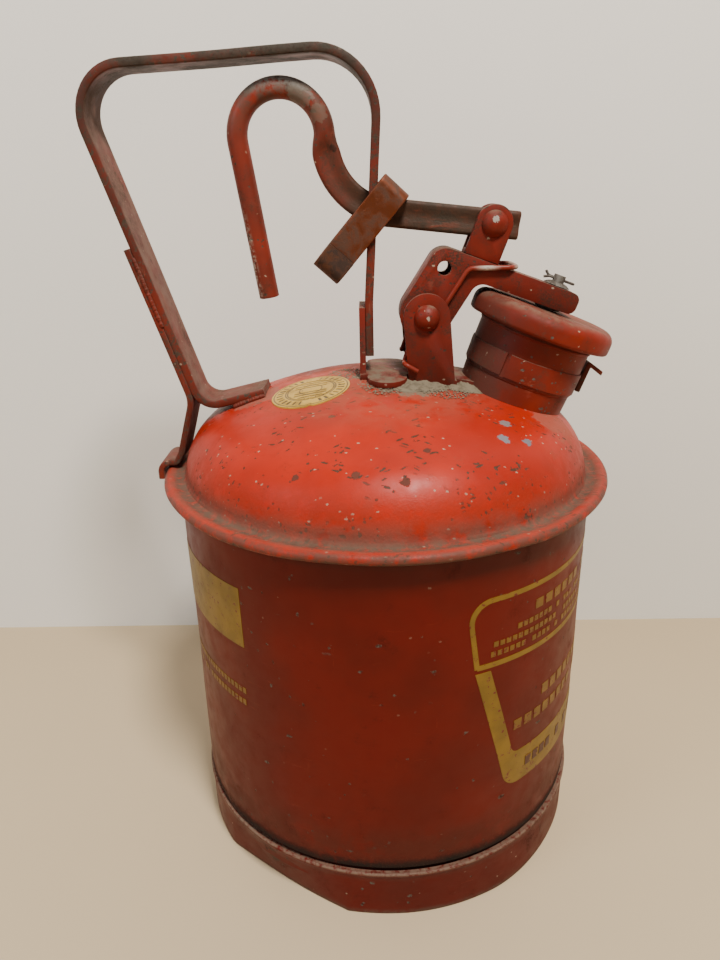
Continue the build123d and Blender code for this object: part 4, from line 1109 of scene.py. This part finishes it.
band_rings = []
for tick in range(89):
    angle = radians(-118 + 356 * tick / 88)
    ring = []
    for radius, height in ((23.3, -19.6), (23.75, -19.4), (23.95, -11.2), (23.85, -10.5), (23.4, -10.3)):
        sway = noise.noise(Vector((cos(angle) * 2, sin(angle) * 2, 3))) * 0.3
        height += sway if height > -15 else 0
        ring.append(ON_SPOUT @ Vector((radius * cos(angle), radius * sin(angle), height)))
    band_rings.append(ring)
points, faces = skin(band_rings)
band = mesh_piece("spout_band", points, faces)
hand_over(band, spout_red, "root", ["neck_band"])

shoulder_arc = [(25.5 + 4.5 * cos(radians(a)), 4.4 + 4.5 * sin(radians(a))) for a in range(0, 91, 10)]
lid_profile = [(28.7, 0.4), (29.3, 0.0), (29.85, 0.5), (30.0, 1.4)] + shoulder_arc
lid_profile += [(18, 9.0), (9, 8.95), (3.0, 8.9), (3.0, 7.8), (9, 7.8), (24.8, 7.8), (27.4, 7.0), (28.7, 5.0)]


def lid_warp(radius, height, angle):
    """The lid's rim is a little out of round, and its top dips and swells."""
    out_of_round = 0.25 * (1 + noise.noise(Vector((cos(angle) * 2, sin(angle) * 2, 1)))) * (radius > 20)
    swell = noise.noise(Vector((radius * cos(angle) / 14, radius * sin(angle) / 14, 0.5)))
    return radius - out_of_round, height - 0.15 + 0.3 * swell * (height > 5)


lid = turned("lid_cap", lid_profile, 96, lid_warp, ON_SPOUT)
hand_over(lid, spout_red, "lid_assembly", ["lid"], 40)
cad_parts["flame_arrester"].data.materials.clear()
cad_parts["flame_arrester"].data.materials.append(zinc)
print("arrester keeps its CAD mesh in zinc")

# %% [markdown]
# ## The round seal
# A thin foil disc is stamped onto the dome. Its fields are plain rings and
# ticks instead of words. The disc is a fine polar grid laid on the dome, and
# the stamped lines are both lower and marked as print.

# %% Seal
SEAL = Vector((-29.6, -16.0))
SEAL_R = 16.0
SEAL_STEPS = 216


def seal_print(radius, angle):
    """How much of the dark print covers a spot of the seal, 0 to 1."""
    line = max(1 - abs(radius - r) / 0.32 for r in (15.0, 10.3, 9.5, 4.6))
    turn = degrees(angle) % 360
    tick = 12.0
    in_band = 11.3 < radius < 14.0 and not (78 < turn < 102 or 258 < turn < 282)
    stroke = in_band and (turn % tick) < tick * (0.34 + 0.3 * noise.noise(Vector((turn // tick, 3, 1))))
    bars = abs(radius * sin(angle)) % 2.3 < 0.8 and radius < 8.6 and abs(radius * cos(angle)) < 6.5
    return max(0.0, min(1.0, line * 1.6), float(stroke), float(bars and abs(radius * sin(angle)) > 0.9) * 0.9)


radii = [0.0] + [SEAL_R * k / 60 for k in range(1, 60)] + [15.9, 16.0]
rings, marks = [], []
for step in range(SEAL_STEPS):
    angle = 2 * pi * step / SEAL_STEPS
    for radius in radii:
        notch = 1 - 0.06 * max(0, 1 - abs((degrees(angle) - 272) / 5))
        x, y = SEAL.x + radius * notch * cos(angle), SEAL.y + radius * notch * sin(angle)
        ink = seal_print(radius, angle)
        lift = 0.55 - 0.16 * ink if radius < SEAL_R else 0.05
        rings.append((x, y, dome_height(hypot(x, y)) + lift - 0.18))
        marks.append(ink)
size = len(radii)
base = len(rings)
faces = []
for step in range(SEAL_STEPS):
    here, there = step * size, (step + 1) % SEAL_STEPS * size
    faces += [(here + k, here + k + 1, there + k + 1, there + k) for k in range(size - 1)]
rings += [(p[0], p[1], dome_height(hypot(p[0], p[1])) - 0.45) for p in rings[size - 1::size]]
faces += [(s * size + size - 1, base + s, base + (s + 1) % SEAL_STEPS, (s + 1) % SEAL_STEPS * size + size - 1)
          for s in range(SEAL_STEPS)]
faces.append(tuple(base + s for s in range(SEAL_STEPS)))
seal = mesh_piece("round_seal", rings, faces, {"print": marks + [0.0] * SEAL_STEPS})
hand_over(seal, seal_gold, "root", ["approval_seal"], 60)

# %% [markdown]
# ## Printed decals
# The yellow frame on the wall's right and the block on its left are drawn
# flat, as (distance round the wall, height), and then wrapped on the wall.
# Lines of lettering are only rows of plain dashes, made by Geometry Nodes.

# %% Wrapping on the wall
def wrapped(name, flat, faces, centre, material, lift=0.10, thick=0.12):
    """Flat points in millimetres laid on the wall round an angle in degrees."""
    points = []
    for along, height in flat:
        angle = radians(centre) + along / WALL_R
        radius = dented(DENT)(WALL_R, height, angle % (2 * pi))[0] + lift
        points.append((radius * cos(angle), radius * sin(angle), height))
    obj = mesh_piece(name, points, faces)
    for polygon in obj.data.polygons:
        middle = polygon.center
        if polygon.normal.x * middle.x + polygon.normal.y * middle.y < 0:
            polygon.flip()
    obj.data.update()
    shell = obj.modifiers.new("thick", "SOLIDIFY")
    shell.thickness, shell.offset = thick * MM, -1
    return hand_over(settle(obj), material, "root", ())


def even(path, count):
    """A number of points evenly spread along a path."""
    spans = [(b - a).length for a, b in zip(path, path[1:])]
    total, out, at, index = sum(spans), [], 0.0, 0
    for tick in range(count):
        goal = total * tick / (count - 1)
        while index < len(spans) - 1 and at + spans[index] < goal:
            at += spans[index]
            index += 1
        out.append(path[index].lerp(path[index + 1], min(1, (goal - at) / max(spans[index], 1e-9))))
    return out


def ribbon(outer, inner, count=150, layers=1):
    """Flat points and faces of a band between two outlines."""
    outer, inner = even(outer, count), even(inner, count)
    rows = [[a.lerp(b, k / layers) for a, b in zip(outer, inner)] for k in range(layers + 1)]
    faces = [(r * count + k, r * count + k + 1, (r + 1) * count + k + 1, (r + 1) * count + k)
             for r in range(layers) for k in range(count - 1)]
    return [p for row in rows for p in row], faces


FRAME_AT, BLOCK_AT = -20.0, -146.0
upper = ribbon(rounded([(-75.8, 117.6), (-80.2, 147), (80.2, 147), (75.8, 117.6)], [0, 9, 9, 0], 1.5),
               rounded([(-73.6, 117.6), (-78.0, 144.9), (78.0, 144.9), (73.6, 117.6)], [0, 7.4, 7.4, 0], 1.5))
wrapped("frame_upper", *upper, FRAME_AT, wall_yellow)
rule = ribbon(rounded([(-74.6, 119.2), (74.6, 119.2)], [0, 0], 1.5),
              rounded([(-74.6, 117.0), (74.6, 117.0)], [0, 0], 1.5))
wrapped("frame_rule", *rule, FRAME_AT, wall_yellow)
lower = ribbon(rounded([(-75.4, 115.6), (-58.2, 55), (58.2, 55), (75.4, 115.6)], [0, 9, 9, 0], 1.5),
               rounded([(-68.8, 115.6), (-55.6, 71.5), (55.6, 71.5), (68.8, 115.6)], [0, 4, 4, 0], 1.5),
               170, 4)
wrapped("frame_lower", *lower, FRAME_AT, wall_yellow)
block = ribbon(rounded([(-28, 145.4), (25.8, 145.4)], [0, 0], 1.5),
               rounded([(-28, 119.3), (25.8, 119.3)], [0, 0], 1.5), 60, 6)
wrapped("yellow_block", *block, BLOCK_AT, wall_yellow)

# %% Rows of dashes
dash_inputs = [("Count", "NodeSocketInt"), ("Pitch", "NodeSocketFloat"), ("Height", "NodeSocketFloat"),
               ("Seed", "NodeSocketInt")]
dash_tree = Tree("dash_row", dash_inputs)
step = dash_tree.node("ShaderNodeCombineXYZ", {}, {0: dash_tree.given("Pitch")})
line = dash_tree.node(
    "GeometryNodeMeshLine", {"mode": "OFFSET"}, {"Count": dash_tree.given("Count"), "Offset": step})
chance = dash_tree.node("FunctionNodeRandomValue", {"data_type": "BOOLEAN"},
                        {"Probability": 0.16, "Seed": dash_tree.given("Seed")}, 3)
kept = dash_tree.node("GeometryNodeDeleteGeometry", {"domain": "POINT"}, {0: line, 1: chance})
wide = dash_tree.node("ShaderNodeMath", {"operation": "MULTIPLY"}, {0: dash_tree.given("Pitch"), 1: 0.72})
dash = dash_tree.node("GeometryNodeMeshGrid", {}, {0: wide, 1: dash_tree.given("Height"), 2: 2, 3: 2})
many = dash_tree.node("GeometryNodeInstanceOnPoints", {}, {0: kept, 2: dash})
dash_tree.close(many, print_yellow)


def dashes(name, start, height_at, count, pitch, height, centre, material, seed):
    """A row of dashes on the wall, where the real can has a line of words."""
    seedling = placed(name + "_row", bpy.data.meshes.new(name + "_row"))
    row = dash_tree.grow(seedling, {"Count": count, "Pitch": pitch, "Height": height, "Seed": seed})
    flat = [(start + v.co.x, height_at + v.co.y) for v in row.data.vertices]
    faces = [tuple(p.vertices) for p in row.data.polygons]
    bpy.data.objects.remove(row)
    return wrapped(name, flat, faces, centre, material, 0.14 if material is print_yellow else 0.26)


ROWS = (
    ("line_a", -46, 137.2, 16, 6.0, 4.0, FRAME_AT), ("line_b", -56, 131.2, 40, 2.9, 2.2, FRAME_AT),
    ("line_c", -67, 126.7, 46, 2.9, 2.2, FRAME_AT), ("line_d", -68, 122.6, 47, 2.9, 2.2, FRAME_AT),
    ("line_e", -38, 95.0, 13, 6.0, 4.6, FRAME_AT), ("line_f", -54, 85.4, 19, 5.8, 4.6, FRAME_AT),
    ("line_g", -21, 98.0, 18, 2.6, 2.6, BLOCK_AT), ("line_h", -19, 92.2, 17, 2.6, 2.6, BLOCK_AT),
)
for index, (name, start, height_at, count, pitch, height, centre) in enumerate(ROWS):
    dashes(name, start, height_at, count, pitch, height, centre, print_yellow, index + 4)
dashes("line_i", -46, 63.4, 20, 4.8, 4.6, FRAME_AT, print_red, 15)

# %% [markdown]
# ## Grit and weld beads
# Years of dust have caked round the bracket. Grains are scattered on a copy
# of the dome's patch there, and welds are rows of small overlapping scales.

# %% Grit
grit_inputs = [("Density", "NodeSocketFloat"), ("Grain", "NodeSocketFloat"), ("Seed", "NodeSocketInt")]
grit_paint = worn_metal("dust_grit", (0.23, 0.19, 0.13, 1), (0.10, 0.078, 0.05, 1), 0.85, 0.0, 1.5, 0.5)
grit_tree = Tree("grit", grit_inputs)
scattered = grit_tree.node(
    "GeometryNodeDistributePointsOnFaces", {"distribute_method": "RANDOM"},
    {"Mesh": grit_tree.given("Geometry"), "Density": grit_tree.given("Density"),
     "Seed": grit_tree.given("Seed")})
grain_size = {"Radius": grit_tree.given("Grain"), "Subdivisions": 1}
grain = grit_tree.node("GeometryNodeMeshIcoSphere", {}, grain_size)
sizes = grit_tree.node("FunctionNodeRandomValue", {"data_type": "FLOAT"}, {2: 0.35, 3: 1.5, "Seed": 5}, 1)
flatter = grit_tree.node("ShaderNodeCombineXYZ", {}, {0: sizes, 1: sizes, 2: 0.55})
spins = grit_tree.node("FunctionNodeRandomValue", {"data_type": "FLOAT"}, {2: 0.0, 3: 6.28, "Seed": 8}, 1)
turn = grit_tree.node("ShaderNodeCombineXYZ", {}, {2: spins})
strewn = grit_tree.node("GeometryNodeInstanceOnPoints", {}, {0: scattered, 2: grain, 5: turn, 6: flatter})
grit_tree.close(strewn, grit_paint)


PATCH_STEPS = 36


def patch_of_dome(centre, reach, parts=14):
    """A ragged round patch lying on the dome."""
    points = []
    for row in range(parts + 1):
        for step in range(PATCH_STEPS):
            angle = 2 * pi * step / PATCH_STEPS
            ragged = 1 + 0.35 * noise.noise(Vector((cos(angle), sin(angle), centre[0])))
            radius = reach * row / parts * ragged
            x, y = centre[0] + radius * cos(angle), centre[1] + radius * sin(angle)
            points.append((x, y, dome_height(hypot(x, y)) + 0.05))
    return mesh_piece("grit_patch", points, loop_faces(parts, PATCH_STEPS))


for name, centre, reach, density, grain_radius, seed in (
    ("grit_front", (2, -15), 13, 1.1e6, 0.36, 3), ("grit_side", (22, -14), 15, 1.0e6, 0.34, 7),
    ("grit_back", (14, 15), 18, 0.8e6, 0.36, 11), ("grit_leg", (-14, 0), 10, 1.0e6, 0.34, 19),
):
    grit = patch_of_dome(centre, reach)
    grit.name = name
    grit_tree.grow(grit, {"Density": density, "Grain": grain_radius * MM, "Seed": seed})
    hand_over(grit, grit_paint, "root", ())

# %% Dust banked against the bracket
def bank(name, centre, reach, rise):
    """A soft heap of dust with a ragged outline, thickest near the middle."""
    parts, steps, points = 16, 72, []
    for row in range(parts + 1):
        for step in range(steps):
            angle = 2 * pi * step / steps
            edge = reach * (1 + 0.45 * noise.noise(Vector((cos(angle) * 1.5, sin(angle) * 1.5, centre[1]))))
            share = row / parts
            x, y = centre[0] + edge * share * cos(angle), centre[1] + edge * share * sin(angle)
            lumps = 0.7 + 0.5 * noise.noise(Vector((x / 2.2, y / 2.2, 1)))
            lumps += 0.3 * noise.noise(Vector((x, y, 4)))
            height = rise * (1 - share**3) * max(0.1, lumps)
            points.append((x, y, dome_height(hypot(x, y)) - 0.3 + (height if row < parts else 0)))
    faces = loop_faces(parts, steps)
    faces.append(tuple(range(parts * steps, (parts + 1) * steps)))
    obj = mesh_piece(name, points, faces)
    return hand_over(obj, dust_paint, "root", (), 80)


dust_paint = worn_metal(
    "dust_bank", (0.185, 0.150, 0.098, 1), (0.105, 0.082, 0.052, 1), 0.9, 0.0, 3.0, 0.5, relief=0.5)
bank("bank_front", (14, -9), 15, 1.7)
bank("bank_rear", (10, 10), 17, 1.9)
bank("bank_spout", (33, -9), 10, 2.2)

# %% Weld beads
weld_tree = Tree("weld", [("Scale", "NodeSocketFloat"), ("Pitch", "NodeSocketFloat")])
run_line = weld_tree.node("GeometryNodeMeshToCurve", {}, {0: weld_tree.given("Geometry")})
stops = weld_tree.node(
    "GeometryNodeResampleCurve", {"mode": "LENGTH"}, {0: run_line, 3: weld_tree.given("Pitch")})
scale_size = {"Radius": weld_tree.given("Scale"), "Subdivisions": 2}
scale_shape = weld_tree.node("GeometryNodeMeshIcoSphere", {}, scale_size)
odd = weld_tree.node("FunctionNodeRandomValue", {"data_type": "FLOAT"}, {2: 0.8, 3: 1.2, "Seed": 2}, 1)
beads = weld_tree.node("GeometryNodeInstanceOnPoints", {}, {0: stops, 2: scale_shape, 6: odd})
weld_tree.close(beads, strap_red)


def weld(name, path, size, material):
    obj = thread(name, path)
    weld_tree.grow(obj, {"Scale": size * MM, "Pitch": size * 0.55 * MM})
    return hand_over(obj, material, "root", ())


for side in (-1, 1):
    run = [(x, side * 9.5, dome_height(hypot(x, 9.5)) + 0.5) for x in (-50, -54, -58, -62)]
    weld("weld_bail_" + ("near" if side < 0 else "far"), run, 1.0, strap_red)
    ends = [brace_at(h) - rear_out * 1.2 for h in (258, 232)]
    run = [(p.x, side * 9.3, p.y) for p in ends]
    weld("weld_brace_" + ("near" if side < 0 else "far"), run, 0.8, strap_red)

# %% [markdown]
# ## Floor, wall and light
# A pale floor and a pale wall stand in for a plain studio. One large soft
# lamp above the camera's right gives the dome its highlight, and a weak fill
# from the left keeps the wall of the can readable.

# %% Stage
def stage_paint(name, tone):
    finish = Finish(name)
    soft = finish.cloud(160, 4)
    colour = finish.tint(soft, tone, tuple(c * 0.94 for c in tone[:3]) + (1,))
    return finish.done(colour, 0.75, 0.0, finish.cloud(3, 3) * 0.02, 0.2)


def stage_sheet(name, corners, material):
    mesh = bpy.data.meshes.new(name)
    mesh.from_pydata([Vector(corner) for corner in corners], [], [(0, 1, 2, 3)])
    mesh.materials.append(material)
    placed(name, mesh)


BACK = 0.135
stage_sheet("floor", [(-3, -3, 0), (3, -3, 0), (3, BACK, 0), (-3, BACK, 0)],
            stage_paint("pale_floor", (0.56, 0.44, 0.28, 1)))
stage_sheet("wall", [(-3, BACK, -0.01), (3, BACK, -0.01), (3, BACK, 2), (-3, BACK, 2)],
            stage_paint("pale_wall", (0.88, 0.86, 0.81, 1)))


def lamp(name, place, target, size, power, tone):
    light = bpy.data.lights.new(name, "AREA")
    light.shape, light.size, light.energy, light.color = "DISK", size, power, tone
    obj = placed(name, light)
    obj.location = place
    obj.rotation_euler = (Vector(target) - Vector(place)).to_track_quat("-Z", "Y").to_euler()


lamp("key", (0.25, -0.62, 1.30), (0, 0.03, 0.15), 0.26, 27, (1.0, 0.94, 0.85))
lamp("fill", (-0.9, -0.6, 0.8), (0, 0.1, 0.2), 0.5, 4.5, (0.98, 0.98, 1.0))
sky = bpy.data.worlds.new("studio")
sky.use_nodes = True
sky.node_tree.nodes["Background"].inputs["Color"].default_value = (0.9, 0.92, 0.95, 1)
sky.node_tree.nodes["Background"].inputs["Strength"].default_value = 0.22
bpy.context.scene.world = sky
print("lights: key, fill, sky")
